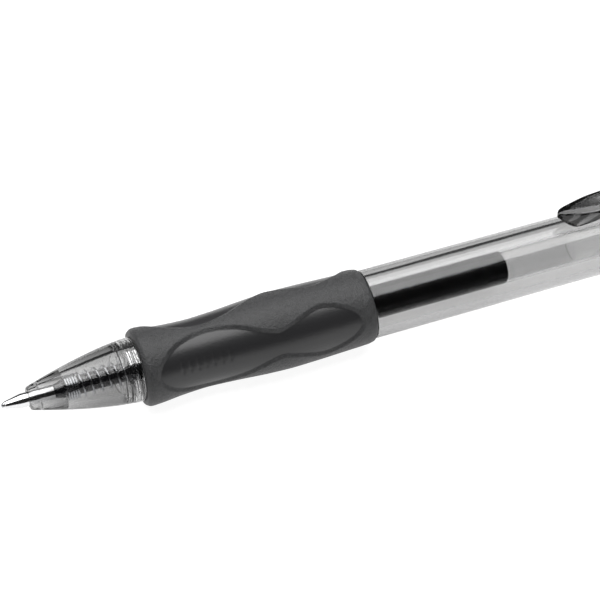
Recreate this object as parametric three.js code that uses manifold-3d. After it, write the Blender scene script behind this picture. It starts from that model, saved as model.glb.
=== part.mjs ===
/*
 * Retractable gel pen with a clear barrel, a rubber grip, a clip and a push button.
 *
 * Units are millimetres. The pen lies along X with its point towards -X, its clip on top (+Z),
 * and its writing point out. The pen group's origin is under the middle of the pen, at the
 * height of its lowest point.
 *
 * Every piece is drawn in its own frame, with x = 0 at its front end and its axis on X, and is
 * then placed at its station: the distance behind the front of the ball.
 */

import * as THREE from 'three';
import { mergeVertices } from 'three/addons/utils/BufferGeometryUtils.js';
import Module from 'manifold-3d';

const wasm = await Module();
wasm.setup();

// ------------------------------------------------------------------ driving dimensions

// Clearances
const FIT_GAP = 0.05;        // radial, between pieces that are pushed together and stay put
const SLIDE_GAP = 0.1;       // radial, between pieces that slide or turn in each other
const FACE_GAP = 0.1;        // along the axis, between faces that meet
const MESH_GAP = 0.3;        // along the axis, between the faces of the cam

// Overall layout
const POINT_OUT = 4.2;       // from the front of the ball to the rim of the nose cone
const NOSE_LENGTH = 14.2;    // from the rim to the seam with the barrel
const BARREL_LENGTH = 110.5;
const BARREL_RADIUS = 5.5;
const BARREL_WALL = 1.3;
const CLICK_TRAVEL = 6;      // how far the refill goes back when it is retracted
const BUTTON_OUT = 13.2;     // how much of the button shows behind the collar

// Writing point
const BALL_RADIUS = 0.35;
const BALL_GAP = 0.04;
const BALL_SHOWING = 0.2;
const POINT_CONE_LENGTH = 2.9;
const POINT_RADIUS = 1.15;
const POINT_LENGTH = 8.2;
const POINT_LIP = 0.08;
const INK_CHANNEL_RADIUS = 0.3;
const SHANK_RADIUS = 0.85;
const SHANK_LENGTH = 2.6;

// Point holder and refill tube
const HOLDER_NECK_LENGTH = 22;
const HOLDER_NECK_RADIUS = 1.45;
const HOLDER_BEVEL = 0.35;
const HOLDER_BORE_RADIUS = 0.6;
const HOLDER_FLANGE = 0.8;
const HOLDER_PLUG_LENGTH = 3;
const TUBE_RADIUS = 2.65;
const TUBE_WALL = 0.4;
const FLANGE_STEP = 0.3;
const INK_FILL = 0.638;      // how full the tube is
const FOLLOWER_LENGTH = 11.7;
const MENISCUS = 0.5;
const END_PLUG_LENGTH = 2.5;
const END_PLUG_HEAD = 0.3;
const VENT_RADIUS = 0.4;

// Spring
const WIRE_RADIUS = 0.175;
const COIL_RADIUS = 1.87;    // to the middle of the wire
const CLOSED_PITCH = 0.4;
const CLOSED_FRONT_TURNS = 5;
const CLOSED_REAR_TURNS = 2;
const OPEN_TURNS = 12.5;

// Nose cone
const NOSE_RIM_RADIUS = 1.8;
const NOSE_BELLY_AT = 8.1;   // where the cone's outline bends most, behind the rim
const NOSE_BELLY_DROP = 0.73;
const NOSE_BORE_LENGTH = 1.6;
const NOSE_BORE_GAP = 0.15;
const NOSE_THROAT_RADIUS = 1.65;
const SPRING_SEAT_AT = 5.55; // behind the rim
const SPRING_SEAT_GAP = 0.35;
const SPIGOT_WALL = 0.5;
const SPIGOT_TAIL = 1.2;     // the plain end of the spigot, behind its thread

// Thread between the nose cone and the barrel
const THREAD_PITCH = 0.9;
const THREAD_TURNS = 5;
const THREAD_HEIGHT = 0.3;
const THREAD_GAP = 0.15;
const THREAD_OFFSET = 0.8;   // from the seam to the first turn
const ROWS_PER_TURN = 5;

// Barrel
const SEAM_STEP = 0.64;      // how much slimmer the pen is at the seam than at the barrel
const SEAM_RISE = 0.2;       // how much the barrel grows from the seam to the grip
const GRIP_SEAT_STEP = 0.8;
const THREAD_WALL = 0.4;
const SEAT_WALL = 1.1;
const RELIEF_LENGTH = 1.5;
const REAR_SPIGOT_LENGTH = 5.5;
const REAR_SPIGOT_STEP = 0.5;

// Grip sleeve
const GRIP_AT = 2.9;         // behind the front of the barrel
const GRIP_LENGTH = 37.7;
// Outside of the sleeve: [share of its length, thickness over the bore]
const GRIP_OUTLINE = [
	[0, 0.65], [0.003, 1.05], [0.016, 1.38], [0.035, 1.45], [0.07, 1.35], [0.146, 1.05],
	[0.252, 0.87], [0.385, 1.1], [0.517, 1.48], [0.623, 1.65], [0.756, 1.55], [0.889, 1.37],
	[0.966, 1.3], [0.992, 1.1], [1, 0.75],
];
// Edge of a finger recess: [share of the sleeve's length, half width]
const RECESS_OUTLINE = [
	[0.058, 0], [0.09, 2.1], [0.164, 3.7], [0.286, 4.34], [0.411, 3.9], [0.517, 2.5],
	[0.578, 1.95], [0.637, 2.5], [0.761, 3.75], [0.859, 2.9], [0.915, 1.5], [0.931, 0],
];
const RECESS_COUNT = 3;
const RECESS_DEPTH = 0.35;
const RECESS_TURN = 66;      // degrees from the clip's side to the nearest recess
const RECESS_POINTS = 44;

// Cam: guide sleeve, rotor and plunger
const GUIDE_FRONT = 6.3;     // how far the guide reaches in front of its ribs' middle
const GUIDE_WALL = 0.35;
const RIB_COUNT = 4;
const RIB_DEPTH = 0.55;
const RIB_HALF_ANGLE = 15;
const STOP_GAP = 0.7;        // left between the plunger's fins and the collar's lip
const FIN_HALF_ANGLE = 7;
const FIN_LENGTH = 3;
const FIN_ROOT = 0.2;
const PLUNGER_FIN_HALF_ANGLE = 12;
const TOOTH_COUNT = 8;
const TOOTH_HEIGHT = 0.8;
const TOOTH_INNER_RADIUS = 1.45;
const ROTOR_LENGTH = 3.8;
const ROTOR_BOSS_LENGTH = 0.7;
const ROTOR_BOSS_RADIUS = 2;
const ROTOR_BORE_RADIUS = 1.3;
const ROTOR_BORE_DEPTH = 2.6;
const STEM_LENGTH = 3.6;
const STEM_GAP = 0.15;
const CROWN_LENGTH = 3.3;
const PLUNGER_TAIL_LENGTH = 7.2;
const PLUNGER_BORE_RADIUS = 1.7;
const PLUNGER_BORE_DEPTH = 6;

// Push button
const BUTTON_WALL = 0.55;
const BUTTON_END_WALL = 1.2;
const BUTTON_EDGE = 0.6;

// Clip collar and clip
const COLLAR_STEP = 0.3;
const COLLAR_EDGE = 0.3;
const COLLAR_LIP = 1.65;
const POST_WIDTH = 4.8;
const CLIP_WIDTH = 4.6;
const CLIP_THICKNESS = 1.7;
const CLIP_LENGTH = 31.4;    // from the tip of the clip to its hinge line
const CLIP_STAND = 4.2;      // from the barrel to the clip's outer face at the root
const CLIP_FOOT_GAP = 0.15;
const CLIP_TAPER = 7.5;       // length of the narrowing at the tip

// Roundness
const SIDES = 32;
const GRIP_SIDES = 48;
const BALL_SIDES = 12;
const WIRE_SIDES = 5;
const STEPS_PER_COIL = 10;
const ROUND_STEPS = 8;

// ------------------------------------------------------------------ derived sizes

const seatRadius = BARREL_RADIUS - GRIP_SEAT_STEP;
const seamRadius = BARREL_RADIUS - SEAM_STEP;
const boreRadius = BARREL_RADIUS - BARREL_WALL;
const seatBore = seatRadius - SEAT_WALL;
const threadLength = THREAD_PITCH * THREAD_TURNS;
const femaleRoot = seatRadius - THREAD_WALL;
const maleRoot = femaleRoot - THREAD_GAP - THREAD_HEIGHT;
const spigotBore = maleRoot - SPIGOT_WALL;
const rearSpigotRadius = BARREL_RADIUS - REAR_SPIGOT_STEP;
const tubeBore = TUBE_RADIUS - TUBE_WALL;

const guideRadius = boreRadius - FIT_GAP;
const channelRadius = guideRadius - GUIDE_WALL;
const ribRadius = channelRadius - RIB_DEPTH;
const finRadius = channelRadius - SLIDE_GAP;
const rotorRadius = ribRadius - MESH_GAP;
const buttonRadius = ribRadius - SLIDE_GAP;
const buttonBore = buttonRadius - BUTTON_WALL;
const helixSlope = CLICK_TRAVEL / (180 / RIB_COUNT);

const crownStep = ROTOR_LENGTH + 2 * TOOTH_HEIGHT - FIN_LENGTH - ROTOR_BOSS_LENGTH;
const ribLength = crownStep + CROWN_LENGTH + CLICK_TRAVEL + STOP_GAP;
const guideLength = ribLength + GUIDE_FRONT;

// Stations
const pointAt = BALL_SHOWING;
const holderAt = pointAt + POINT_LENGTH + FACE_GAP;
const flangeAt = holderAt + HOLDER_NECK_LENGTH;
const tubeAt = flangeAt + HOLDER_FLANGE + FACE_GAP;
const seamAt = POINT_OUT + NOSE_LENGTH;
const barrelAt = seamAt + FACE_GAP;
const barrelEndAt = barrelAt + BARREL_LENGTH;
const gripAt = barrelAt + GRIP_AT;
const guideAt = barrelEndAt - guideLength;
const ribAt = barrelEndAt - ribLength;
const finEndAt = ribAt - MESH_GAP;
const rotorAt = finEndAt - FIN_LENGTH - ROTOR_BOSS_LENGTH;
const crownAt = ribAt + crownStep;
const buttonAt = crownAt + CROWN_LENGTH + FACE_GAP;
const tubeEndAt = rotorAt - MESH_GAP - END_PLUG_HEAD - FACE_GAP;
const collarAt = barrelEndAt - REAR_SPIGOT_LENGTH + FACE_GAP;
const collarEndAt = barrelEndAt + FACE_GAP + COLLAR_LIP;
const buttonEndAt = collarEndAt + BUTTON_OUT;
const springAt = POINT_OUT + SPRING_SEAT_AT + FACE_GAP + WIRE_RADIUS;
const springEndAt = flangeAt - FACE_GAP - WIRE_RADIUS;
const inkAt = tubeAt + HOLDER_PLUG_LENGTH + FACE_GAP;
const endPlugAt = tubeEndAt - END_PLUG_LENGTH;
const inkLength = INK_FILL * (endPlugAt - inkAt);
const clipHingeAt = collarAt - MESH_GAP;

// ------------------------------------------------------------------ materials

const plastic = (color, roughness, opacity = 1) => new THREE.MeshStandardMaterial({
	color,
	roughness,
	metalness: 0,
	opacity,
	transparent: opacity < 1,
});
const metal = (color, roughness) => new THREE.MeshStandardMaterial({
	color,
	roughness,
	metalness: 1,
});

const CARBIDE = metal(0x8d9095, 0.15);
const NICKEL_SILVER = metal(0xd5d7da, 0.2);
const SPRING_STEEL = metal(0xb9bcc0, 0.28);
const CLEAR_GREY = plastic(0xb4b8bd, 0.08, 0.35);
const SMOKE_GREY = plastic(0x6f7379, 0.1, 0.5);
const CLEAR = plastic(0xeef0f2, 0.1, 0.3);
const HOLDER_BLACK = plastic(0x15161a, 0.3);
const INK_BLACK = plastic(0x050507, 0.2);
const GRIP_RUBBER = plastic(0x3c3e42, 0.7);
const CAM_WHITE = plastic(0xe6e6e2, 0.4);
const BUTTON_BLACK = plastic(0x1a1b1e, 0.3);

// ------------------------------------------------------------------ shape helpers

/** Turns an outline of [x, radius] points about X. It starts and ends on the axis, or closes. */
function turned(points, sides = SIDES) {
	const outline = points.map(([x, radius]) => new THREE.Vector2(radius, x));
	const open = points[0][1] > 0;
	if (open) outline.push(outline[0].clone());
	const geometry = new THREE.LatheGeometry(outline, sides);
	geometry.rotateZ(-Math.PI / 2);
	return welded(geometry);
}

/** The geometry with its shared corners merged, so that it is one closed skin. */
function welded(geometry) {
	geometry.deleteAttribute('normal');
	geometry.deleteAttribute('uv');
	return mergeVertices(geometry, 1e-4);
}

/** A solid that can be joined and cut. */
function solid(geometry) {
	const merged = welded(geometry);
	return new wasm.Manifold(new wasm.Mesh({
		numProp: 3,
		vertProperties: new Float32Array(merged.attributes.position.array),
		triVerts: new Uint32Array(merged.index.array),
	}));
}

/** The geometry of a solid. */
function geometryOf(body) {
	const mesh = body.getMesh();
	const geometry = new THREE.BufferGeometry();
	geometry.setAttribute('position', new THREE.BufferAttribute(mesh.vertProperties, 3));
	geometry.setIndex(new THREE.BufferAttribute(mesh.triVerts, 1));
	return geometry;
}

/**
 * Wraps a flat outline of [degrees, x] points round the pen's axis, as a block between two
 * radii that is turned to the given angle.
 */
function wrapped(points, innerRadius, outerRadius, turn = 0) {
	const shape = new THREE.Shape(points.map(([angle, x]) => new THREE.Vector2(angle, x)));
	const block = new THREE.ExtrudeGeometry(shape, {
		depth: outerRadius - innerRadius,
		bevelEnabled: false,
	});
	const corners = block.attributes.position;
	for (let i = 0; i < corners.count; i++) {
		const angle = THREE.MathUtils.degToRad(corners.getX(i) + turn);
		const radius = innerRadius + corners.getZ(i);
		corners.setXYZ(i, corners.getY(i), radius * Math.cos(angle), radius * Math.sin(angle));
	}
	return solid(block);
}

/** An outline in the X-Z plane as a plate of the given width, centred on Y. */
function plate(shape, width, curveSegments = ROUND_STEPS) {
	const geometry = new THREE.ExtrudeGeometry(shape, {
		depth: width,
		bevelEnabled: false,
		curveSegments,
	});
	geometry.translate(0, 0, -width / 2);
	geometry.rotateX(Math.PI / 2);
	return solid(geometry);
}

/** Rows for a threaded stretch that starts at x, as [x, radius] points. */
function threadRows(x, radius) {
	const count = THREAD_TURNS * ROWS_PER_TURN;
	return Array.from({ length: count + 1 }, (_, i) => [x + (i * threadLength) / count, radius]);
}

/**
 * Raises a right-hand thread on the stretch that starts at x. Only corners at the given root
 * radius move: outwards on a male thread, inwards on a female one.
 */
function threaded(geometry, x, rootRadius, sign) {
	const corners = geometry.attributes.position;
	for (let i = 0; i < corners.count; i++) {
		const along = corners.getX(i) - x;
		const y = corners.getY(i);
		const z = corners.getZ(i);
		const onRoot = Math.abs(Math.hypot(y, z) - rootRadius) < 1e-3;
		if (!onRoot || along < 0 || along > threadLength) continue;
		const turns = along / THREAD_PITCH - Math.atan2(z, y) / (2 * Math.PI);
		const fade = Math.min(1, along / THREAD_PITCH, (threadLength - along) / THREAD_PITCH);
		const wave = 0.5 + 0.5 * sign * Math.sin(2 * Math.PI * turns);
		const scale = (rootRadius + sign * THREAD_HEIGHT * fade * wave) / rootRadius;
		corners.setXYZ(i, corners.getX(i), y * scale, z * scale);
	}
	return geometry;
}

/** A quarter circle of [x, radius] points between two corners of a turned outline. */
function rounded([x0, r0], [x1, r1], bulge = 1, steps = 3) {
	return Array.from({ length: steps + 1 }, (_, i) => {
		const angle = (i / steps) * (Math.PI / 2);
		const sine = Math.sin(angle);
		const rest = 1 - Math.cos(angle);
		const across = bulge > 0 ? sine : rest;
		const down = bulge > 0 ? rest : sine;
		return [x0 + (x1 - x0) * across, r0 + (r1 - r0) * down];
	});
}

// ------------------------------------------------------------------ writing point and refill

function ball() {
	return new THREE.SphereGeometry(BALL_RADIUS, BALL_SIDES * 2, BALL_SIDES);
}

/** Metal point: a cone that closes over the ball, with an ink channel and a shank. */
function point() {
	const socket = BALL_RADIUS + BALL_GAP;
	const middle = BALL_RADIUS - pointAt;
	const lip = Math.sqrt(socket ** 2 - middle ** 2);
	const end = POINT_LENGTH + SHANK_LENGTH;
	return turned([
		[0, lip],
		[0, lip + POINT_LIP],
		[POINT_CONE_LENGTH, POINT_RADIUS],
		[POINT_LENGTH, POINT_RADIUS],
		[POINT_LENGTH, SHANK_RADIUS],
		[end, SHANK_RADIUS],
		[end, INK_CHANNEL_RADIUS],
		[middle + socket + FIT_GAP, INK_CHANNEL_RADIUS],
		[middle + socket / 2, socket],
		[middle, socket + FIT_GAP / 2],
	]);
}

/** Plastic holder that carries the point and plugs the front of the ink tube. */
function pointHolder() {
	const shankBore = SHANK_RADIUS + FIT_GAP;
	const flange = HOLDER_NECK_LENGTH + HOLDER_FLANGE;
	const end = flange + FACE_GAP + HOLDER_PLUG_LENGTH;
	const flangeRadius = TUBE_RADIUS - FLANGE_STEP;
	return turned([
		[0, shankBore],
		[0, HOLDER_NECK_RADIUS - HOLDER_BEVEL],
		[HOLDER_BEVEL, HOLDER_NECK_RADIUS],
		[HOLDER_NECK_LENGTH, HOLDER_NECK_RADIUS],
		[HOLDER_NECK_LENGTH, flangeRadius],
		[flange, flangeRadius],
		[flange, tubeBore - FIT_GAP],
		[end, tubeBore - FIT_GAP],
		[end, HOLDER_BORE_RADIUS],
		[SHANK_LENGTH + MESH_GAP, HOLDER_BORE_RADIUS],
		[SHANK_LENGTH + MESH_GAP, shankBore],
	]);
}

function refillTube() {
	const length = tubeEndAt - tubeAt;
	return turned([[0, tubeBore], [0, TUBE_RADIUS], [length, TUBE_RADIUS], [length, tubeBore]]);
}

function ink() {
	const radius = tubeBore - FIT_GAP;
	return turned([
		[0, 0],
		[0, radius],
		...rounded([inkLength - MENISCUS, radius], [inkLength, radius - MENISCUS]),
		[inkLength, 0],
	]);
}

/** Clear grease that follows the ink down the tube. */
function inkFollower() {
	const radius = tubeBore - FIT_GAP;
	return turned([[0, 0], [0, radius], [FOLLOWER_LENGTH, radius], [FOLLOWER_LENGTH, 0]]);
}

/** Vented plug in the rear end of the tube, which the rotor presses on. */
function refillPlug() {
	const end = END_PLUG_LENGTH + FACE_GAP + END_PLUG_HEAD;
	return turned([
		[0, VENT_RADIUS],
		[0, tubeBore - FIT_GAP],
		[END_PLUG_LENGTH + FACE_GAP, tubeBore - FIT_GAP],
		[END_PLUG_LENGTH + FACE_GAP, TUBE_RADIUS],
		[end, TUBE_RADIUS],
		[end, VENT_RADIUS],
	]);
}

// ------------------------------------------------------------------ spring

/** The spring's centre line, close-wound at both ends. */
class CoilPath extends THREE.Curve {
	constructor(length) {
		super();
		const closed = (CLOSED_FRONT_TURNS + CLOSED_REAR_TURNS) * CLOSED_PITCH;
		this.turns = CLOSED_FRONT_TURNS + OPEN_TURNS + CLOSED_REAR_TURNS;
		this.openPitch = (length - closed) / OPEN_TURNS;
	}

	getPoint(t, target = new THREE.Vector3()) {
		const turn = t * this.turns;
		const open = THREE.MathUtils.clamp(turn - CLOSED_FRONT_TURNS, 0, OPEN_TURNS);
		const x = (turn - open) * CLOSED_PITCH + open * this.openPitch;
		const angle = 2 * Math.PI * turn;
		return target.set(x, COIL_RADIUS * Math.cos(angle), COIL_RADIUS * Math.sin(angle));
	}
}

function spring() {
	const path = new CoilPath(springEndAt - springAt);
	const wire = new THREE.Shape();
	wire.absarc(0, 0, WIRE_RADIUS, 0, 2 * Math.PI);
	return new THREE.ExtrudeGeometry(new THREE.Shape(wire.getSpacedPoints(WIRE_SIDES)), {
		extrudePath: path,
		steps: Math.round(path.turns * STEPS_PER_COIL),
		bevelEnabled: false,
	});
}

// ------------------------------------------------------------------ nose cone, barrel and grip

/** Clear nose cone with a male thread on its rear spigot. */
function noseCone() {
	const rim = new THREE.Vector2(0, NOSE_RIM_RADIUS);
	const belly = new THREE.Vector2(NOSE_BELLY_AT, seamRadius - NOSE_BELLY_DROP);
	const seam = new THREE.Vector2(NOSE_LENGTH, seamRadius);
	const outline = new THREE.QuadraticBezierCurve(rim, belly, seam).getPoints(ROUND_STEPS);
	const threadAt = NOSE_LENGTH + THREAD_OFFSET;
	const end = threadAt + threadLength + SPIGOT_TAIL;
	const bore = POINT_RADIUS + NOSE_BORE_GAP;
	const seatRadiusOut = COIL_RADIUS + WIRE_RADIUS + SPRING_SEAT_GAP;
	const geometry = turned([
		[0, bore],
		...outline.map((p) => [p.x, p.y]),
		[NOSE_LENGTH, maleRoot],
		...threadRows(threadAt, maleRoot),
		[end, maleRoot],
		[end, spigotBore],
		[NOSE_LENGTH, spigotBore],
		[SPRING_SEAT_AT, seatRadiusOut],
		[SPRING_SEAT_AT, NOSE_THROAT_RADIUS],
		[NOSE_BORE_LENGTH + NOSE_THROAT_RADIUS - bore, NOSE_THROAT_RADIUS],
		[NOSE_BORE_LENGTH, bore],
	]);
	return threaded(geometry, threadAt, maleRoot, 1);
}

/** Clear barrel: a female thread in front, a seat for the grip, and a rear spigot. */
function barrel() {
	const threadAt = THREAD_OFFSET - FACE_GAP;
	const threadEnd = threadAt + threadLength;
	const seatAt = GRIP_AT - FACE_GAP;
	const seatEnd = GRIP_AT + GRIP_LENGTH + FACE_GAP;
	const spigotAt = BARREL_LENGTH - REAR_SPIGOT_LENGTH;
	const reliefEnd = threadEnd + RELIEF_LENGTH;
	const geometry = turned([
		[0, femaleRoot],
		[0, seamRadius],
		[seatAt / 2, seamRadius + 0.75 * SEAM_RISE],
		[seatAt, seamRadius + SEAM_RISE],
		[seatAt, seatRadius],
		[seatEnd, seatRadius],
		[seatEnd, BARREL_RADIUS],
		[spigotAt, BARREL_RADIUS],
		[spigotAt, rearSpigotRadius],
		[BARREL_LENGTH, rearSpigotRadius],
		[BARREL_LENGTH, boreRadius],
		[seatEnd, boreRadius],
		[seatEnd - (boreRadius - seatBore), seatBore],
		[reliefEnd, seatBore],
		[reliefEnd, femaleRoot],
		...threadRows(threadAt, femaleRoot).reverse(),
	]);
	return threaded(geometry, threadAt, femaleRoot, -1);
}

/** The sleeve's outside, lowered by the given depth, as a turned body. */
function gripBody(depth) {
	const bore = seatRadius + FIT_GAP;
	const skin = GRIP_OUTLINE.map(([share, wall]) => [share * GRIP_LENGTH, bore + wall - depth]);
	return turned([[0, 0], ...skin, [GRIP_LENGTH, 0]], GRIP_SIDES);
}

/** The block that presses one figure-of-eight finger recess into the sleeve. */
function recessBlock() {
	const there = RECESS_OUTLINE.map(([share, half]) => new THREE.Vector2(share * GRIP_LENGTH, half));
	const back = there.slice(1, -1).reverse().map((p) => new THREE.Vector2(p.x, -p.y));
	const outline = new THREE.SplineCurve([...there, ...back, there[0]]);
	const shape = new THREE.Shape(outline.getPoints(RECESS_POINTS).slice(0, -1));
	const block = new THREE.ExtrudeGeometry(shape, {
		depth: BARREL_RADIUS * 1.5,
		bevelEnabled: false,
	});
	block.translate(0, 0, seatRadius / 2);
	return solid(block);
}

/** Rubber sleeve with finger recesses pressed into it. */
function gripSleeve() {
	const bore = seatRadius + FIT_GAP;
	const core = solid(turned([[-1, 0], [-1, bore], [GRIP_LENGTH + 1, bore], [GRIP_LENGTH + 1, 0]],
		GRIP_SIDES));
	const recess = recessBlock().subtract(solid(gripBody(RECESS_DEPTH)));
	let sleeve = solid(gripBody(0)).subtract(core);
	for (let i = 0; i < RECESS_COUNT; i++) {
		const turn = RECESS_TURN + (i * 360) / RECESS_COUNT;
		sleeve = sleeve.subtract(recess.rotate([turn, 0, 0]));
	}
	return geometryOf(sleeve);
}

// ------------------------------------------------------------------ cam

/** Blocks wrapped round the axis at equal angles, joined to a turned body. */
function joinedRound(body, count, turn, makeBlock) {
	let joined = body;
	for (let i = 0; i < count; i++) joined = joined.add(makeBlock(turn + (i * 360) / count));
	return joined;
}

/** Guide sleeve inside the barrel, whose ribs end in the slopes that the rotor rests on. */
function camGuide() {
	const tube = turned([
		[0, channelRadius],
		[0, guideRadius],
		[guideLength, guideRadius],
		[guideLength, channelRadius],
	]);
	const drop = RIB_HALF_ANGLE * helixSlope;
	const rib = [
		[-RIB_HALF_ANGLE, GUIDE_FRONT - drop],
		[0, GUIDE_FRONT],
		[RIB_HALF_ANGLE, GUIDE_FRONT + drop],
		[RIB_HALF_ANGLE, guideLength],
		[0, guideLength],
		[-RIB_HALF_ANGLE, guideLength],
	];
	const makeRib = (turn) => wrapped(rib, ribRadius, channelRadius + GUIDE_WALL / 2, turn);
	return geometryOf(joinedRound(solid(tube), RIB_COUNT, 0, makeRib));
}

/** One sloped tooth of a crown whose root face is at x and whose teeth point along sign. */
function tooth(x, sign, turn) {
	const width = 360 / TOOTH_COUNT - 1;
	const root = x - (sign * TOOTH_HEIGHT) / 2;
	const peak = x + sign * TOOTH_HEIGHT;
	const outline = [[0, root], [width, root], [width, sign > 0 ? peak : x], [0, sign > 0 ? x : peak]];
	return wrapped(outline, TOOTH_INNER_RADIUS, rotorRadius - FIT_GAP, turn);
}

/** Rotor: steps from the ribs into the channels between them as the refill goes back. */
function rotor() {
	const boreFloor = ROTOR_LENGTH - ROTOR_BORE_DEPTH;
	const body = solid(turned([
		[0, 0],
		[0, ROTOR_BOSS_RADIUS],
		[ROTOR_BOSS_LENGTH, ROTOR_BOSS_RADIUS],
		[ROTOR_BOSS_LENGTH, rotorRadius],
		[ROTOR_LENGTH, rotorRadius],
		[ROTOR_LENGTH, ROTOR_BORE_RADIUS],
		[boreFloor, ROTOR_BORE_RADIUS],
		[boreFloor, 0],
	]));
	const rise = FIN_HALF_ANGLE * helixSlope;
	const finEnd = ROTOR_BOSS_LENGTH + FIN_LENGTH;
	const fin = [
		[-FIN_HALF_ANGLE, ROTOR_BOSS_LENGTH],
		[FIN_HALF_ANGLE, ROTOR_BOSS_LENGTH],
		[FIN_HALF_ANGLE, finEnd + rise],
		[-FIN_HALF_ANGLE, finEnd - rise],
	];
	const makeFin = (turn) => wrapped(fin, rotorRadius - FIN_ROOT, finRadius, turn);
	const finned = joinedRound(body, RIB_COUNT, 0, makeFin);
	return geometryOf(joinedRound(finned, TOOTH_COUNT, 0, (turn) => tooth(ROTOR_LENGTH, 1, turn)));
}

/** Plunger: its crown faces the rotor, its fins keep it straight, its tail holds the button. */
function plunger() {
	const tail = STEM_LENGTH + CROWN_LENGTH;
	const end = tail + PLUNGER_TAIL_LENGTH;
	const stemRadius = ROTOR_BORE_RADIUS - STEM_GAP;
	const body = solid(turned([
		[0, 0],
		[0, stemRadius],
		[STEM_LENGTH, stemRadius],
		[STEM_LENGTH, rotorRadius],
		[tail, rotorRadius],
		[tail, buttonBore - FIT_GAP],
		[end, buttonBore - FIT_GAP],
		[end, PLUNGER_BORE_RADIUS],
		[end - PLUNGER_BORE_DEPTH, PLUNGER_BORE_RADIUS],
		[end - PLUNGER_BORE_DEPTH, 0],
	]));
	const fin = [
		[-PLUNGER_FIN_HALF_ANGLE, STEM_LENGTH],
		[0, STEM_LENGTH],
		[PLUNGER_FIN_HALF_ANGLE, STEM_LENGTH],
		[PLUNGER_FIN_HALF_ANGLE, tail],
		[0, tail],
		[-PLUNGER_FIN_HALF_ANGLE, tail],
	];
	const makeFin = (turn) => wrapped(fin, rotorRadius - FIN_ROOT, finRadius, turn);
	const finned = joinedRound(body, RIB_COUNT, 180 / RIB_COUNT, makeFin);
	return geometryOf(joinedRound(finned, TOOTH_COUNT, 0, (turn) => tooth(STEM_LENGTH, -1, turn)));
}

/** Push button: a cap over the plunger's tail, with a flat end for the thumb. */
function pushButton() {
	const length = buttonEndAt - buttonAt;
	const floor = length - BUTTON_END_WALL;
	return turned([
		[floor, 0],
		[floor, buttonBore],
		[0, buttonBore],
		[0, buttonRadius],
		...rounded([length - BUTTON_EDGE, buttonRadius], [length, buttonRadius - BUTTON_EDGE]),
		[length, 0],
	]);
}

// ------------------------------------------------------------------ clip

/** Collar on the barrel's rear spigot, with the post that carries the clip. */
function clipCollar() {
	const length = collarEndAt - collarAt;
	const radius = BARREL_RADIUS + COLLAR_STEP;
	const bore = rearSpigotRadius + FIT_GAP;
	const lipAt = length - COLLAR_LIP;
	const lipRadius = buttonRadius + SLIDE_GAP;
	const ring = solid(turned([
		[0, bore],
		[0, radius - COLLAR_EDGE],
		[COLLAR_EDGE, radius],
		[length - 2 * COLLAR_EDGE, radius],
		[length, radius - 2 * COLLAR_EDGE],
		[length, lipRadius],
		[lipAt, lipRadius],
		[lipAt, bore],
	]));
	const top = BARREL_RADIUS + CLIP_STAND;
	const front = CLIP_THICKNESS / 2;
	const shape = new THREE.Shape();
	shape.moveTo(front, bore + COLLAR_STEP);
	shape.lineTo(front, top - 0.4 * CLIP_THICKNESS);
	shape.quadraticCurveTo(front + 0.1, top, front + 0.7, top);
	shape.bezierCurveTo(0.55 * length, top, 0.9 * length, top - 1, length - 0.4, radius - 0.2);
	shape.lineTo(length - 0.4, bore + COLLAR_STEP);
	return geometryOf(ring.add(plate(shape, POST_WIDTH)));
}

/** Clip arm, in a frame at the tip of the clip, with its foot on the barrel. */
function clipArm() {
	const foot = BARREL_RADIUS + CLIP_FOOT_GAP;
	const top = BARREL_RADIUS + CLIP_STAND;
	const round = CLIP_THICKNESS / 2;
	const side = new THREE.Shape();
	side.moveTo(0, top - 1.4);
	side.splineThru([[0.35, top - 0.95], [1.2, top - 0.9], [3, top - 0.9], [7.1, top - 0.8],
		[12.4, top - 0.4], [20.4, top - 0.05]].map(([x, z]) => new THREE.Vector2(x, z)));
	side.lineTo(CLIP_LENGTH, top);
	side.absarc(CLIP_LENGTH, top - round, round, Math.PI / 2, -Math.PI / 2, true);
	side.lineTo(20.4, top - CLIP_THICKNESS - 0.05);
	side.splineThru([[12.4, top - CLIP_THICKNESS - 0.45], [7.1, foot + 1.2], [4.9, foot + 0.5],
		[3.6, foot + 0.08], [2.6, foot], [1.4, foot + 0.75], [0.5, foot + 1.65]]
		.map(([x, z]) => new THREE.Vector2(x, z)));
	const half = CLIP_WIDTH / 2;
	const plan = new THREE.Shape();
	plan.moveTo(CLIP_LENGTH + 1, half);
	for (const away of [0, 0.15, 0.3, 0.45, 0.6, 0.75, 0.9, 1]) {
		plan.lineTo(CLIP_TAPER * (1 - away), half * (1 - 0.76 * away ** 2));
	}
	for (const away of [1, 0.9, 0.75, 0.6, 0.45, 0.3, 0.15, 0]) {
		plan.lineTo(CLIP_TAPER * (1 - away), -half * (1 - 0.76 * away ** 2));
	}
	plan.lineTo(CLIP_LENGTH + 1, -half);
	const planBlock = new THREE.ExtrudeGeometry(plan, {
		depth: top + 1,
		bevelEnabled: false,
		curveSegments: ROUND_STEPS,
	});
	return geometryOf(plate(side, CLIP_WIDTH + 2, 3).intersect(solid(planBlock)));
}

// ------------------------------------------------------------------ assembly

/** A named piece at its station. */
function piece(name, geometry, material, station) {
	const mesh = new THREE.Mesh(geometry, material);
	mesh.name = name;
	mesh.position.x = station;
	return mesh;
}

const refill = new THREE.Group().add(
	piece('ball', ball(), CARBIDE, BALL_RADIUS),
	piece('point', point(), NICKEL_SILVER, pointAt),
	piece('point_holder', pointHolder(), HOLDER_BLACK, holderAt),
	piece('refill_tube', refillTube(), CLEAR, tubeAt),
	piece('ink', ink(), INK_BLACK, inkAt),
	piece('ink_follower', inkFollower(), CLEAR, inkAt + inkLength + FACE_GAP),
	piece('refill_plug', refillPlug(), CAM_WHITE, endPlugAt),
);

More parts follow.
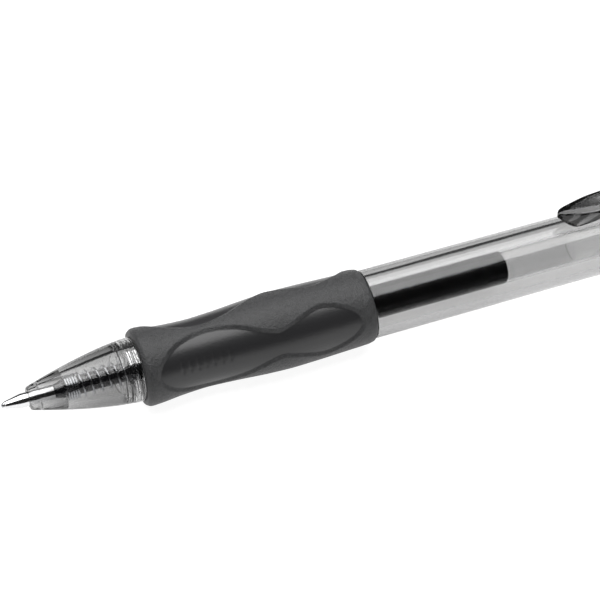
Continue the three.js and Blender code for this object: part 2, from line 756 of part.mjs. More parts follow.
const front = new THREE.Group().add(
	piece('nose_cone', noseCone(), CLEAR_GREY, POINT_OUT),
	piece('spring', spring(), SPRING_STEEL, springAt),
	piece('grip_sleeve', gripSleeve(), GRIP_RUBBER, gripAt),
	piece('barrel', barrel(), CLEAR_GREY, barrelAt),
);

const cam = new THREE.Group().add(
	piece('cam_guide', camGuide(), CAM_WHITE, guideAt),
	piece('cam_rotor', rotor(), CAM_WHITE, rotorAt),
	piece('plunger', plunger(), CAM_WHITE, crownAt - STEM_LENGTH),
	piece('push_button', pushButton(), BUTTON_BLACK, buttonAt),
);

const clip = new THREE.Group().add(
	piece('clip_collar', clipCollar(), SMOKE_GREY, collarAt),
	piece('clip_arm', clipArm(), SMOKE_GREY, clipHingeAt - CLIP_LENGTH),
);

const pen = new THREE.Group().add(refill, front, cam, clip);
const box = new THREE.Box3().setFromObject(pen);
pen.position.set(-buttonEndAt / 2, 0, -box.min.z);

export default pen;
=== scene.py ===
"""Looks of a retractable gel pen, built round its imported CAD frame.

The pen lies along X with its point towards -X and its clip on top. Every piece is drawn in
millimetres, in its own frame with the pen's axis on X, and is then placed at its station:
the distance behind the front of the ball.
"""

from __future__ import annotations

import logging
import math
from dataclasses import dataclass, field
from enum import Enum
from typing import Callable, Sequence

import bmesh
import bpy
import numpy as np
from mathutils import Matrix, Vector

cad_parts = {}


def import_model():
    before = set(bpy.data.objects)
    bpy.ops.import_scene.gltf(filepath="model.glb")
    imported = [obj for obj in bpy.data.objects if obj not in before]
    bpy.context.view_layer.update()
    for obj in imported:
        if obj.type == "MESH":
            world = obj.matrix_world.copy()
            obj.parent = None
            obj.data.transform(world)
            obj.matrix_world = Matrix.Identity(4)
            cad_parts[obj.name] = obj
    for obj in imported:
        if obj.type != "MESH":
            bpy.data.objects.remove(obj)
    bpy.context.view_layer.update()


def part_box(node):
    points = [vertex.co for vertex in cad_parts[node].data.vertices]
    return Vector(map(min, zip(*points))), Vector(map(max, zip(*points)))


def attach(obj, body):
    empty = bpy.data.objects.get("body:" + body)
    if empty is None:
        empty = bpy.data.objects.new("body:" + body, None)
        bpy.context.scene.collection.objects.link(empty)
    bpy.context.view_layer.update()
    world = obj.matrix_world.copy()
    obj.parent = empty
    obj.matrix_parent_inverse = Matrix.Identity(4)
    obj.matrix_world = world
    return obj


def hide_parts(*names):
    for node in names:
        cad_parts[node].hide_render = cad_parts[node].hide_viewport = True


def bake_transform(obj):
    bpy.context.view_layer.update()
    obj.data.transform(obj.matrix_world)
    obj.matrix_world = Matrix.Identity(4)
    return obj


log = logging.getLogger("gel_pen")

MM = 0.001

Outline = list[tuple[float, float]]
Colour = tuple[float, float, float]


class Body(Enum):
    """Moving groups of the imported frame."""

    BARREL = "barrel"
    NOSE = "nose"
    REFILL = "refill"
    BALL = "ball"
    ROTOR = "rotor"
    BUTTON = "button"
    CLIP = "clip"


class Slot(Enum):
    """Material slots of the record."""

    CARBIDE = "carbide"
    POINT_METAL = "point_metal"
    SPRING_STEEL = "spring_steel"
    CLEAR_GREY = "clear_grey"
    SMOKE_GREY = "smoke_grey"
    TUBE_PLASTIC = "tube_plastic"
    FOLLOWER = "follower"
    INK = "ink"
    BLACK_PLASTIC = "black_plastic"
    CAM_PLASTIC = "cam_plastic"
    GRIP_RUBBER = "grip_rubber"


class Side(Enum):
    """Side of a surface that a thread is raised on."""

    MALE = 1.0
    FEMALE = -1.0


# ------------------------------------------------------------------ shells


@dataclass
class Shell:
    """Closed skin of a piece in its own frame.

    Args:
        points: Corners, in millimetres, one row each.
        faces: Corner numbers of each face.
        masks: Named values, one for each corner.
    """

    points: np.ndarray
    faces: list[tuple[int, ...]]
    masks: dict[str, np.ndarray] = field(default_factory=dict)

    def volume(self) -> float:
        """Signed volume, positive when the faces point outwards."""
        fans = [(face[0], a, b) for face in self.faces for a, b in zip(face[1:-1], face[2:])]
        one, two, three = self.points[np.array(fans).T]
        return float(np.einsum("ij,ij->", one, np.cross(two, three))) / 6.0

    def outward(self) -> Shell:
        """The shell with its faces pointing outwards."""
        if self.volume() < 0:
            self.faces = [tuple(reversed(face)) for face in self.faces]
        return self

    def moved(self, x: float = 0.0, y: float = 0.0, z: float = 0.0) -> Shell:
        """The shell shifted by the given millimetres."""
        return Shell(self.points + np.array([x, y, z]), list(self.faces), dict(self.masks))

    def mesh(self, name: str) -> bpy.types.Mesh:
        """A Blender mesh of the shell, still in millimetres.

        Args:
            name: Name of the mesh.

        Returns:
            The mesh, smooth shaded, with its masks as attributes.
        """
        mesh = bpy.data.meshes.new(name)
        mesh.from_pydata(self.points.tolist(), [], self.faces)
        for label, values in self.masks.items():
            layer = mesh.attributes.new(label, "FLOAT", "POINT")
            layer.data.foreach_set("value", values.astype(np.float32))
        mesh.update()
        mesh.shade_smooth()
        return mesh


def bowed(start: np.ndarray, middle: np.ndarray, end: np.ndarray, steps: int) -> Outline:
    """A curve that leaves its start and meets its end in the direction of a middle point.

    Args:
        start: First point.
        middle: Point that pulls the curve.
        end: Last point.
        steps: Stretches of the curve.

    Returns:
        The points of the curve.
    """
    made: Outline = []
    for step in range(steps + 1):
        t = step / steps
        point = (1 - t) ** 2 * start + 2 * t * (1 - t) * middle + t * t * end
        made.append((float(point[0]), float(point[1])))
    return made


def softened(share: np.ndarray) -> np.ndarray:
    """A share from 0 to 1 that starts and ends without a kink."""
    return share * share * (3 - 2 * share)


def quilted(rows: int, sides: int, closed: bool) -> list[tuple[int, ...]]:
    """Faces between rings of corners.

    Args:
        rows: Number of rings.
        sides: Corners on each ring.
        closed: Whether the last ring meets the first.

    Returns:
        The corner numbers of each face.
    """
    faces: list[tuple[int, ...]] = []
    for i in range(rows if closed else rows - 1):
        one = i * sides
        two = (i + 1) % rows * sides
        for j in range(sides):
            k = (j + 1) % sides
            faces.append((one + j, two + j, two + k, one + k))
    return faces


def eased(outline: Outline, radius: float, steps: int = 4) -> Outline:
    """Rounds the corners of an outline.

    Args:
        outline: Corners as (x, radius) that start and end on the axis, or close.
        radius: Largest rounding, in millimetres.
        steps: Points on each rounded corner.

    Returns:
        The outline with its corners rounded.
    """
    closed = outline[0][1] > 0
    count = len(outline)
    made: Outline = []
    for i, corner in enumerate(outline):
        if not closed and i in (0, count - 1):
            made.append(corner)
            continue
        here = np.array(corner, float)
        back = np.array(outline[i - 1], float) - here
        ahead = np.array(outline[(i + 1) % count], float) - here
        lengths = (float(np.linalg.norm(back)), float(np.linalg.norm(ahead)))
        bend = float(np.dot(back, ahead)) / (lengths[0] * lengths[1])
        if bend < -0.985:
            made.append(corner)
            continue
        reach = min(radius, 0.4 * lengths[0], 0.4 * lengths[1])
        start = here + back / lengths[0] * reach
        end = here + ahead / lengths[1] * reach
        made += bowed(start, here, end, steps)
    return made


def turned(outline: Outline, sides: int = 128) -> Shell:
    """Turns an outline about the pen's axis.

    Args:
        outline: Corners as (x, radius) that start and end on the axis, or close.
        sides: Faces round the axis.

    Returns:
        The closed shell.
    """
    angles = np.arange(sides) * 2 * math.pi / sides
    points: list[np.ndarray] = []
    rings: list[list[int]] = []
    start = 0
    for x, radius in outline:
        if radius <= 1e-9:
            points.append(np.array([[x, 0.0, 0.0]]))
            rings.append([start])
            start += 1
            continue
        ring = np.stack([np.full(sides, x), radius * np.cos(angles), radius * np.sin(angles)], 1)
        points.append(ring)
        rings.append(list(range(start, start + sides)))
        start += sides
    pairs = list(zip(rings, rings[1:]))
    if outline[0][1] > 0:
        pairs.append((rings[-1], rings[0]))
    faces: list[tuple[int, ...]] = []
    for one, two in pairs:
        for i in range(sides):
            j = (i + 1) % sides
            if len(one) == 1 and len(two) == 1:
                break
            if len(one) == 1:
                faces.append((one[0], two[i], two[j]))
            elif len(two) == 1:
                faces.append((one[i], two[0], one[j]))
            else:
                faces.append((one[i], two[i], two[j], one[j]))
    return Shell(np.vstack(points), faces).outward()


def wrapped(points: Outline, inner: float, outer: float, turn: float = 0.0) -> Shell:
    """Wraps a flat outline round the pen's axis, as a block between two radii.

    Args:
        points: Corners as (degrees, x).
        inner: Inner radius.
        outer: Outer radius.
        turn: Degrees that the block is turned by.

    Returns:
        The closed block.
    """
    count = len(points)
    rows = []
    for radius in (inner, outer):
        for degrees, x in points:
            angle = math.radians(degrees + turn)
            rows.append([x, radius * math.cos(angle), radius * math.sin(angle)])
    faces: list[tuple[int, ...]] = [tuple(range(count))]
    faces.append(tuple(range(2 * count - 1, count - 1, -1)))
    for i in range(count):
        j = (i + 1) % count
        faces.append((j, i, i + count, j + count))
    return Shell(np.array(rows), faces).outward()


# ------------------------------------------------------------------ placing pieces


@dataclass(frozen=True)
class PenAxis:
    """Where the pen lies in the frame.

    Args:
        front: X of the front of the ball, in metres.
        height: Height of the pen's axis, in metres.
    """

    front: float
    height: float

    @classmethod
    def read(cls) -> PenAxis:
        """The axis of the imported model, from its ball."""
        low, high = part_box("ball")
        return cls(front=low.x, height=(low.z + high.z) / 2)

    def at(self, station: float, above: float = 0.0) -> tuple[float, float, float]:
        """A point over the axis, in metres.

        Args:
            station: Millimetres behind the front of the ball.
            above: Millimetres above the axis.

        Returns:
            The point in the row frame.
        """
        return (self.front + station * MM, 0.0, self.height + above * MM)

    def matrix(self, station: float) -> Matrix:
        """Moves a mesh in millimetres to its station, in metres."""
        return Matrix.Translation(self.at(station)) @ Matrix.Scale(MM, 4)


@dataclass(frozen=True)
class Maker:
    """Turns meshes into finished pieces on their bodies.

    Args:
        axis: The pen's axis.
        crease: Sharpest angle that is still shaded smooth, in degrees.
    """

    axis: PenAxis
    crease: float = 38.0

    def piece(
        self,
        name: str,
        mesh: bpy.types.Mesh,
        station: float,
        material: bpy.types.Material,
        crease: float | None = None,
    ) -> bpy.types.Object:
        """Places a mesh and gives it its finish.

        Args:
            name: Name of the piece.
            mesh: Mesh in millimetres.
            station: Where its own frame starts.
            material: Its finish.
            crease: Sharpest angle that is still shaded smooth, in degrees.

        Returns:
            The object, at the origin with its place in its mesh.
        """
        mesh.transform(self.axis.matrix(station))
        mesh.set_sharp_from_angle(angle=math.radians(crease or self.crease))
        mesh.materials.clear()
        mesh.materials.append(material)
        mesh.name = name
        obj = bpy.data.objects.new(name, mesh)
        bpy.context.scene.collection.objects.link(obj)
        return obj

    def hand_over(
        self, obj: bpy.types.Object, body: Body, slot: Slot, *nodes: str
    ) -> bpy.types.Object:
        """Lets a piece ride on a body and stand for its CAD nodes.

        Args:
            obj: The piece.
            body: The body that it moves with.
            slot: Its material slot; not used.
            nodes: The CAD nodes that it stands for.

        Returns:
            The piece.
        """
        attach(obj, body.value)
        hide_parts(*nodes)
        report(obj, body.value)
        return obj


def report(obj: bpy.types.Object, body: str) -> None:
    """Logs a finished piece and its number of triangles."""
    triangles = sum(len(face.vertices) - 2 for face in obj.data.polygons)
    log.info("%-18s on %-8s %7d triangles", obj.name, body, triangles)


# ------------------------------------------------------------------ geometry node trees


class GeometryTree:
    """A geometry node tree with named inputs, run once on a mesh."""

    def __init__(self, name: str) -> None:
        """Starts an empty tree.

        Args:
            name: Name of the tree.
        """
        self.tree = bpy.data.node_groups.new(name, "GeometryNodeTree")
        face = self.tree.interface
        face.new_socket("Geometry", in_out="INPUT", socket_type="NodeSocketGeometry")
        face.new_socket("Geometry", in_out="OUTPUT", socket_type="NodeSocketGeometry")
        self.start = self.tree.nodes.new("NodeGroupInput")
        self.end = self.tree.nodes.new("NodeGroupOutput")

    def asks(self, name: str, kind: str = "Float") -> bpy.types.NodeSocket:
        """Adds a named input and returns its socket inside the tree."""
        self.tree.interface.new_socket(name, in_out="INPUT", socket_type=f"NodeSocket{kind}")
        return self.start.outputs[name]

    def node(self, kind: str, **settings: object) -> bpy.types.Node:
        """Adds a node with the given properties."""
        made = self.tree.nodes.new(kind)
        for key, value in settings.items():
            setattr(made, key, value)
        return made

    def feed(self, socket: bpy.types.NodeSocket, value: object) -> None:
        """Links a socket to another, or sets its plain value."""
        if isinstance(value, bpy.types.NodeSocket):
            self.tree.links.new(value, socket)
        elif value is not None:
            socket.default_value = value

    def math(self, how: str, *values: object) -> bpy.types.NodeSocket:
        """A Math node over the given values, as its result."""
        made = self.node("ShaderNodeMath", operation=how)
        for socket, value in zip(made.inputs, values):
            self.feed(socket, value)
        return made.outputs[0]

    def vector(self, x: object, y: object, z: object) -> bpy.types.NodeSocket:
        """A vector of three values."""
        made = self.node("ShaderNodeCombineXYZ")
        for socket, value in zip(made.inputs, (x, y, z)):
            self.feed(socket, value)
        return made.outputs[0]

    def finish(self, geometry: bpy.types.NodeSocket) -> None:
        """Ends the tree in Realize Instances and Set Material."""
        material = self.asks("Material", "Material")
        real = self.node("GeometryNodeRealizeInstances")
        dressed = self.node("GeometryNodeSetMaterial")
        self.feed(real.inputs["Geometry"], geometry)
        self.feed(dressed.inputs["Geometry"], real.outputs[0])
        self.feed(dressed.inputs["Material"], material)
        self.feed(self.end.inputs[0], dressed.outputs[0])

    def run(self, mesh: bpy.types.Mesh, **values: object) -> bpy.types.Mesh:
        """Runs the tree on a mesh.

        Args:
            mesh: The mesh that the tree starts from.
            values: Inputs by name, with underscores for spaces.

        Returns:
            The made mesh.
        """
        holder = bpy.data.objects.new("tree_holder", mesh)
        bpy.context.scene.collection.objects.link(holder)
        modifier = holder.modifiers.new("tree", "NODES")
        modifier.node_group = self.tree
        sockets = {
            item.name: item.identifier
            for item in self.tree.interface.items_tree
            if item.item_type == "SOCKET" and item.in_out == "INPUT"
        }
        for name, value in values.items():
            modifier[sockets[name.replace("_", " ")]] = value
        view = bpy.context.view_layer.depsgraph
        view.update()
        made = bpy.data.meshes.new_from_object(holder.evaluated_get(view), depsgraph=view)
        holder.modifiers.clear()
        bpy.data.objects.remove(holder)
        return made


def coil_tree() -> GeometryTree:
    """A wire that follows a coil with close-wound ends, along X."""
    tree = GeometryTree("wound_wire")
    total = tree.asks("Turns")
    front = tree.asks("Front Turns")
    open_turns = tree.asks("Open Turns")
    closed_pitch = tree.asks("Closed Pitch")
    open_pitch = tree.asks("Open Pitch")
    coil = tree.asks("Coil Radius")
    wire = tree.asks("Wire Radius")
    steps = tree.asks("Steps per Turn", "Int")
    line = tree.node("GeometryNodeCurvePrimitiveLine")
    rows = tree.node("GeometryNodeResampleCurve")
    tree.feed(rows.inputs["Curve"], line.outputs[0])
    tree.feed(rows.inputs["Count"], tree.math("ADD", tree.math("MULTIPLY", total, steps), 1.0))
    number = tree.node("GeometryNodeInputIndex").outputs[0]
    turn = tree.math("DIVIDE", number, steps)
    wound = tree.math("MAXIMUM", tree.math("SUBTRACT", turn, front), 0.0)
    wound = tree.math("MINIMUM", wound, open_turns)
    closed = tree.math("MULTIPLY", tree.math("SUBTRACT", turn, wound), closed_pitch)
    x = tree.math("ADD", closed, tree.math("MULTIPLY", wound, open_pitch))
    angle = tree.math("MULTIPLY", turn, 2 * math.pi)
    y = tree.math("MULTIPLY", tree.math("COSINE", angle), coil)
    z = tree.math("MULTIPLY", tree.math("SINE", angle), coil)
    placed = tree.node("GeometryNodeSetPosition")
    tree.feed(placed.inputs["Geometry"], rows.outputs[0])
    tree.feed(placed.inputs["Position"], tree.vector(x, y, z))
    ring = tree.node("GeometryNodeCurvePrimitiveCircle")
    ring.inputs["Resolution"].default_value = 14
    tree.feed(ring.inputs["Radius"], wire)
    swept = tree.node("GeometryNodeCurveToMesh")
    tree.feed(swept.inputs["Curve"], placed.outputs[0])
    tree.feed(swept.inputs["Profile Curve"], ring.outputs[0])
    swept.inputs["Fill Caps"].default_value = True
    tree.finish(swept.outputs[0])
    return tree


def thread_tree() -> GeometryTree:
    """Raises a right-hand thread on the part of a turned body that lies at one radius."""
    tree = GeometryTree("raised_thread")
    start = tree.asks("Start")
    length = tree.asks("Length")
    pitch = tree.asks("Pitch")
    height = tree.asks("Height")
    root = tree.asks("Root Radius")
    sign = tree.asks("Sign")
    flank = tree.asks("Flank")
    place = tree.node("GeometryNodeInputPosition").outputs[0]
    parts = tree.node("ShaderNodeSeparateXYZ")
    tree.feed(parts.inputs[0], place)
    x, y, z = parts.outputs
    along = tree.math("SUBTRACT", x, start)
    round_turn = tree.math("DIVIDE", tree.math("ARCTAN2", z, y), 2 * math.pi)
    turns = tree.math("SUBTRACT", tree.math("DIVIDE", along, pitch), round_turn)
    sine = tree.math("SINE", tree.math("MULTIPLY", turns, 2 * math.pi))
    steep = tree.math("MULTIPLY", tree.math("MULTIPLY", sine, sign), flank)
    steep = tree.math("MINIMUM", tree.math("MAXIMUM", steep, -1.0), 1.0)
    wave = tree.math("ADD", tree.math("MULTIPLY", steep, 0.5), 0.5)
    lead = tree.math("DIVIDE", along, pitch)
    trail = tree.math("DIVIDE", tree.math("SUBTRACT", length, along), pitch)
    fade = tree.math("MINIMUM", tree.math("MINIMUM", lead, trail), 1.0)
    fade = tree.math("MAXIMUM", fade, 0.0)
    rise = tree.math("MULTIPLY", tree.math("MULTIPLY", height, sign), tree.math("MULTIPLY", fade, wave))
    scale = tree.math("DIVIDE", tree.math("ADD", root, rise), root)
    radius = tree.math(
        "SQRT", tree.math("ADD", tree.math("MULTIPLY", y, y), tree.math("MULTIPLY", z, z))
    )
    on_root = tree.math("LESS_THAN", tree.math("ABSOLUTE", tree.math("SUBTRACT", radius, root)), 0.002)
    placed = tree.node("GeometryNodeSetPosition")
    tree.feed(placed.inputs["Geometry"], tree.start.outputs["Geometry"])
    tree.feed(placed.inputs["Selection"], on_root)
    tree.feed(
        placed.inputs["Position"],
        tree.vector(x, tree.math("MULTIPLY", y, scale), tree.math("MULTIPLY", z, scale)),
    )
    tree.finish(placed.outputs[0])
    return tree


def round_tree() -> GeometryTree:
    """Repeats a block at equal angles round the pen's axis."""
    tree = GeometryTree("blocks_round_axis")
    count = tree.asks("Count", "Int")
    turn = tree.asks("Turn")
    dots = tree.node("GeometryNodePoints")
    tree.feed(dots.inputs["Count"], count)
    number = tree.node("GeometryNodeInputIndex").outputs[0]
    share = tree.math("DIVIDE", number, count)
    angle = tree.math("ADD", tree.math("MULTIPLY", share, 2 * math.pi), turn)
    copies = tree.node("GeometryNodeInstanceOnPoints")
    tree.feed(copies.inputs["Points"], dots.outputs[0])
    tree.feed(copies.inputs["Instance"], tree.start.outputs["Geometry"])
    tree.feed(copies.inputs["Rotation"], tree.vector(angle, 0.0, 0.0))
    tree.finish(copies.outputs[0])
    return tree


# ------------------------------------------------------------------ shader effects


class ShaderTree:
    """A shader node tree, a group or a material's own, with short ways to add nodes."""

    def __init__(self, tree: bpy.types.NodeTree) -> None:
        """Wraps a node tree."""
        self.tree = tree

    def node(self, kind: str, **settings: object) -> bpy.types.Node:
        """Adds a node with the given properties."""
        made = self.tree.nodes.new(kind)
        for key, value in settings.items():
            setattr(made, key, value)
        return made

    def feed(self, socket: bpy.types.NodeSocket, value: object) -> None:
        """Links a socket to another, or sets its plain value."""
        if isinstance(value, bpy.types.NodeSocket):
            self.tree.links.new(value, socket)
        elif value is not None:
            socket.default_value = value

    def math(self, how: str, *values: object) -> bpy.types.NodeSocket:
        """A Math node over the given values, as its result."""
        made = self.node("ShaderNodeMath", operation=how)
        for socket, value in zip(made.inputs, values):
            self.feed(socket, value)
        return made.outputs[0]

    def stretched(self, place: bpy.types.NodeSocket, scale: Sequence[float]) -> bpy.types.NodeSocket:
        """The place scaled by a plain vector, in a Mapping node."""
        made = self.node("ShaderNodeMapping")
        self.feed(made.inputs["Vector"], place)
        made.inputs["Scale"].default_value = scale
        return made.outputs[0]

    def noise(
        self, place: bpy.types.NodeSocket, scale: object, detail: float = 2.0, rough: float = 0.5
    ) -> bpy.types.NodeSocket:
        """A noise value over the place."""
        made = self.node("ShaderNodeTexNoise")
        self.feed(made.inputs["Vector"], place)
        self.feed(made.inputs["Scale"], scale)
        made.inputs["Detail"].default_value = detail
        made.inputs["Roughness"].default_value = rough
        return made.outputs[0]

    def spread(self, value: object, low: object, high: object, to_low: object, to_high: object) -> object:
        """The value carried from one range to another, and kept inside it."""
        made = self.node("ShaderNodeMapRange")
        for socket, part in zip(made.inputs, (value, low, high, to_low, to_high)):
            self.feed(socket, part)
        return made.outputs[0]

    def mixed(self, share: object, one: object, two: object) -> bpy.types.NodeSocket:
        """Two colours mixed by a share."""
        made = self.node("ShaderNodeMix", data_type="RGBA")
        self.feed(made.inputs[0], share)
        self.feed(made.inputs[6], one)
        self.feed(made.inputs[7], two)
        return made.outputs[2]

    def bump(self, height: object, distance: float, strength: float = 1.0) -> bpy.types.NodeSocket:
        """A normal raised by a height."""
        made = self.node("ShaderNodeBump")
        made.inputs["Strength"].default_value = strength
        made.inputs["Distance"].default_value = distance
        self.feed(made.inputs["Height"], height)
        return made.outputs[0]


class Effects:
    """Shader node groups that more than one finish uses, each built once."""

    def __init__(self) -> None:
        """Starts with no group built."""
        self.built: dict[str, bpy.types.NodeTree] = {}

    def group(
        self,
        name: str,
        inputs: Sequence[tuple[str, str]],
        outputs: Sequence[str],
        fill: Callable[[ShaderTree, bpy.types.Node, bpy.types.Node], None],
    ) -> bpy.types.NodeTree:
        """A named group, built on its first use.

        Args:
            name: Name of the group.
            inputs: Names and kinds of its inputs.
            outputs: Names of its values.
            fill: Adds the nodes between its start and its end.

        Returns:
            The group's tree.
        """
        if name not in self.built:
            tree = bpy.data.node_groups.new(name, "ShaderNodeTree")
            for label, kind in inputs:
                tree.interface.new_socket(label, in_out="INPUT", socket_type=f"NodeSocket{kind}")
            for label in outputs:
                tree.interface.new_socket(label, in_out="OUTPUT", socket_type="NodeSocketFloat")
            start = tree.nodes.new("NodeGroupInput")
            end = tree.nodes.new("NodeGroupOutput")
            fill(ShaderTree(tree), start, end)
            self.built[name] = tree
        return self.built[name]

    def handling(self) -> bpy.types.NodeTree:
        """Hair scratches and rubbed haze from being carried and held."""

        def fill(tree: ShaderTree, start: bpy.types.Node, end: bpy.types.Node) -> None:
            """Adds the nodes between the group's start and its end."""
            place = start.outputs["Place"]
            lengthwise = tree.noise(tree.stretched(place, (260.0, 5200.0, 5200.0)), 1.0, 3.0, 0.6)
            crosswise = tree.noise(tree.stretched(place, (6400.0, 500.0, 500.0)), 1.0, 2.0, 0.5)
            lines = tree.math("MAXIMUM", lengthwise, crosswise)
            hair = tree.spread(lines, 0.66, 0.74, 0.0, 1.0)
            cloud = tree.spread(tree.noise(place, 320.0, 3.0, 0.6), 0.42, 0.7, 0.0, 1.0)
            haze = tree.math("ADD", tree.math("MULTIPLY", hair, 0.7), tree.math("MULTIPLY", cloud, 0.3))
            tree.feed(end.inputs["Haze"], tree.math("MULTIPLY", haze, start.outputs["Amount"]))
            tree.feed(end.inputs["Height"], tree.math("MULTIPLY", hair, start.outputs["Amount"]))

        return self.group(
            "handling_marks", [("Place", "Vector"), ("Amount", "Float")], ["Haze", "Height"], fill
        )

    def grain(self) -> bpy.types.NodeTree:
        """Fine eroded grain of a mould, with painted shade that darkens its hollows."""

        def fill(tree: ShaderTree, start: bpy.types.Node, end: bpy.types.Node) -> None:
            """Adds the nodes between the group's start and its end."""
            place = start.outputs["Place"]
            scale = start.outputs["Scale"]
            fine = tree.noise(place, scale, 3.0, 0.65)
            coarse = tree.noise(place, tree.math("MULTIPLY", scale, 0.4), 2.0, 0.5)
            both = tree.math("ADD", tree.math("MULTIPLY", fine, 0.65), tree.math("MULTIPLY", coarse, 0.35))
            height = tree.spread(both, 0.3, 0.7, 0.0, 1.0)
            tree.feed(end.inputs["Height"], tree.math("MULTIPLY", height, start.outputs["Amount"]))
            # Shade is painted shade: it is low where the grain is low, so colours mixed by it are darker in
            # the grain's hollows.
            tree.feed(end.inputs["Shade"], tree.spread(both, 0.38, 0.62, 0.0, 1.0))

        return self.group(
            "mould_grain_and_shade",
            [("Place", "Vector"), ("Scale", "Float"), ("Amount", "Float")],
            ["Height", "Shade"],
            fill,
        )

    def flow(self) -> bpy.types.NodeTree:
        """Faint streaks along a moulding, where the plastic flowed down the tool."""

        def fill(tree: ShaderTree, start: bpy.types.Node, end: bpy.types.Node) -> None:
            """Adds the nodes between the group's start and its end."""
            place = start.outputs["Place"]
            wide = tree.noise(tree.stretched(place, (14.0, 900.0, 900.0)), 1.0, 2.0, 0.5)
            slim = tree.noise(tree.stretched(place, (30.0, 3200.0, 3200.0)), 1.0, 2.0, 0.55)
            both = tree.math("ADD", tree.math("MULTIPLY", wide, 0.6), tree.math("MULTIPLY", slim, 0.4))
            streak = tree.spread(both, 0.36, 0.64, 0.0, 1.0)
            tree.feed(end.inputs["Streak"], tree.math("MULTIPLY", streak, start.outputs["Amount"]))

        return self.group("flow_streaks", [("Place", "Vector"), ("Amount", "Float")], ["Streak"], fill)

    def lathe(self) -> bpy.types.NodeTree:
        """Rings that a turning tool leaves, square to the pen's axis."""

        def fill(tree: ShaderTree, start: bpy.types.Node, end: bpy.types.Node) -> None:
            """Adds the nodes between the group's start and its end."""
            place = start.outputs["Place"]
            rings = tree.noise(tree.stretched(place, (26000.0, 60.0, 60.0)), 1.0, 2.0, 0.6)
            value = tree.spread(rings, 0.35, 0.65, 0.0, 1.0)
            tree.feed(end.inputs["Ring"], tree.math("MULTIPLY", value, start.outputs["Amount"]))

        return self.group("turning_rings", [("Place", "Vector"), ("Amount", "Float")], ["Ring"], fill)


# ------------------------------------------------------------------ finishes


@dataclass(frozen=True)
class Finish:
    """What every finish has.

    Args:
        name: Name of the material.
        colour: Base colour, linear.
        roughness: Roughness where the surface is clean.
        wear: How strong the marks of handling are.
    """

    name: str
    colour: Colour
    roughness: float
    wear: float

    def begin(self) -> tuple[bpy.types.Material, ShaderTree, bpy.types.Node, bpy.types.NodeSocket]:
        """A new material with its tree, its shader and the place on the piece."""
        material = bpy.data.materials.new(self.name)
        material.use_nodes = True
        tree = ShaderTree(material.node_tree)
        shader = material.node_tree.nodes["Principled BSDF"]
        shader.inputs["Base Color"].default_value = (*self.colour, 1.0)
        shader.inputs["Roughness"].default_value = self.roughness
        place = tree.node("ShaderNodeTexCoord").outputs["Object"]
        return material, tree, shader, place

    def effect(
        self, tree: ShaderTree, group: bpy.types.NodeTree, place: bpy.types.NodeSocket, **values: float
    ) -> bpy.types.Node:
        """Places a group in a material with its own values.

        Args:
            tree: The material's tree.
            group: The group's tree.
            place: The place on the piece.
            values: The group's plain inputs.

        Returns:
            The group node.
        """
        made = tree.node("ShaderNodeGroup")
        made.node_tree = group
        tree.feed(made.inputs["Place"], place)
        for label, value in values.items():
            made.inputs[label].default_value = value
        return made


@dataclass(frozen=True)
class ClearPlastic(Finish):
    """See-through moulded plastic.

    Args:
        ior: Refractive index.
        streak: How strong the flow streaks are.
        deep: Colour in the streaks, linear.
        body: How fast the plastic swallows light, for each metre.
        unevenness: Depth of the streaks' ripple, in metres.
    """

    ior: float = 1.5
    streak: float = 1.0
    deep: Colour = (0.8, 0.8, 0.8)
    body: float = 200.0
    unevenness: float = 0.000003

    def make(self, effects: Effects) -> bpy.types.Material:
        """Builds the material."""
        material, tree, shader, place = self.begin()
        shader.inputs["Transmission Weight"].default_value = 1.0
        shader.inputs["IOR"].default_value = self.ior
        flow = self.effect(tree, effects.flow(), place, Amount=self.streak)
        marks = self.effect(tree, effects.handling(), place, Amount=self.wear)
        colour = tree.mixed(flow.outputs["Streak"], (*self.colour, 1.0), (*self.deep, 1.0))
        rough = tree.spread(marks.outputs["Haze"], 0.0, 1.0, self.roughness, self.roughness + 0.22)
        height = tree.math("SUBTRACT", flow.outputs["Streak"], marks.outputs["Height"])
        tree.feed(shader.inputs["Base Color"], colour)
        tree.feed(shader.inputs["Roughness"], rough)
        tree.feed(shader.inputs["Normal"], tree.bump(height, self.unevenness))
        swallow = tree.node("ShaderNodeVolumeAbsorption")
        swallow.inputs["Color"].default_value = (0.0, 0.0, 0.0, 1.0)
        swallow.inputs["Density"].default_value = self.body
        end = material.node_tree.nodes["Material Output"]
        tree.feed(end.inputs["Volume"], swallow.outputs[0])
        return material


@dataclass(frozen=True)
class SolidPlastic(Finish):
    """Opaque moulded plastic.

    Args:
        grain_scale: Grains across a metre.
        grain_depth: Depth of the grain, in metres.
        soft: How much light goes into it and comes out again.
        polish: How strong its polished top skin is.
        ior: Refractive index against what touches it.
    """

    grain_scale: float = 5000.0
    grain_depth: float = 0.000006
    soft: float = 0.0
    polish: float = 0.0
    ior: float = 1.5

    def make(self, effects: Effects) -> bpy.types.Material:
        """Builds the material."""
        material, tree, shader, place = self.begin()
        shader.inputs["Subsurface Weight"].default_value = self.soft
        shader.inputs["Subsurface Scale"].default_value = 0.001
        shader.inputs["IOR"].default_value = self.ior
        shader.inputs["Coat Weight"].default_value = self.polish
        shader.inputs["Coat IOR"].default_value = 1.9
        grain = self.effect(tree, effects.grain(), place, Scale=self.grain_scale, Amount=1.0)
        marks = self.effect(tree, effects.handling(), place, Amount=self.wear)
        # Painted shade: the grain's Shade mixes in a dimmer copy of the colour in the grain's hollows.
        dim = tuple(0.86 * part for part in self.colour)
        colour = tree.mixed(grain.outputs["Shade"], (*dim, 1.0), (*self.colour, 1.0))
        rough = tree.math("ADD", marks.outputs["Haze"], grain.outputs["Shade"])
        rough = tree.spread(rough, 0.0, 2.0, self.roughness, self.roughness + 0.25)
        height = tree.math("SUBTRACT", grain.outputs["Height"], marks.outputs["Height"])
        tree.feed(shader.inputs["Base Color"], colour)
        tree.feed(shader.inputs["Roughness"], rough)
        tree.feed(shader.inputs["Normal"], tree.bump(height, self.grain_depth))
        return material


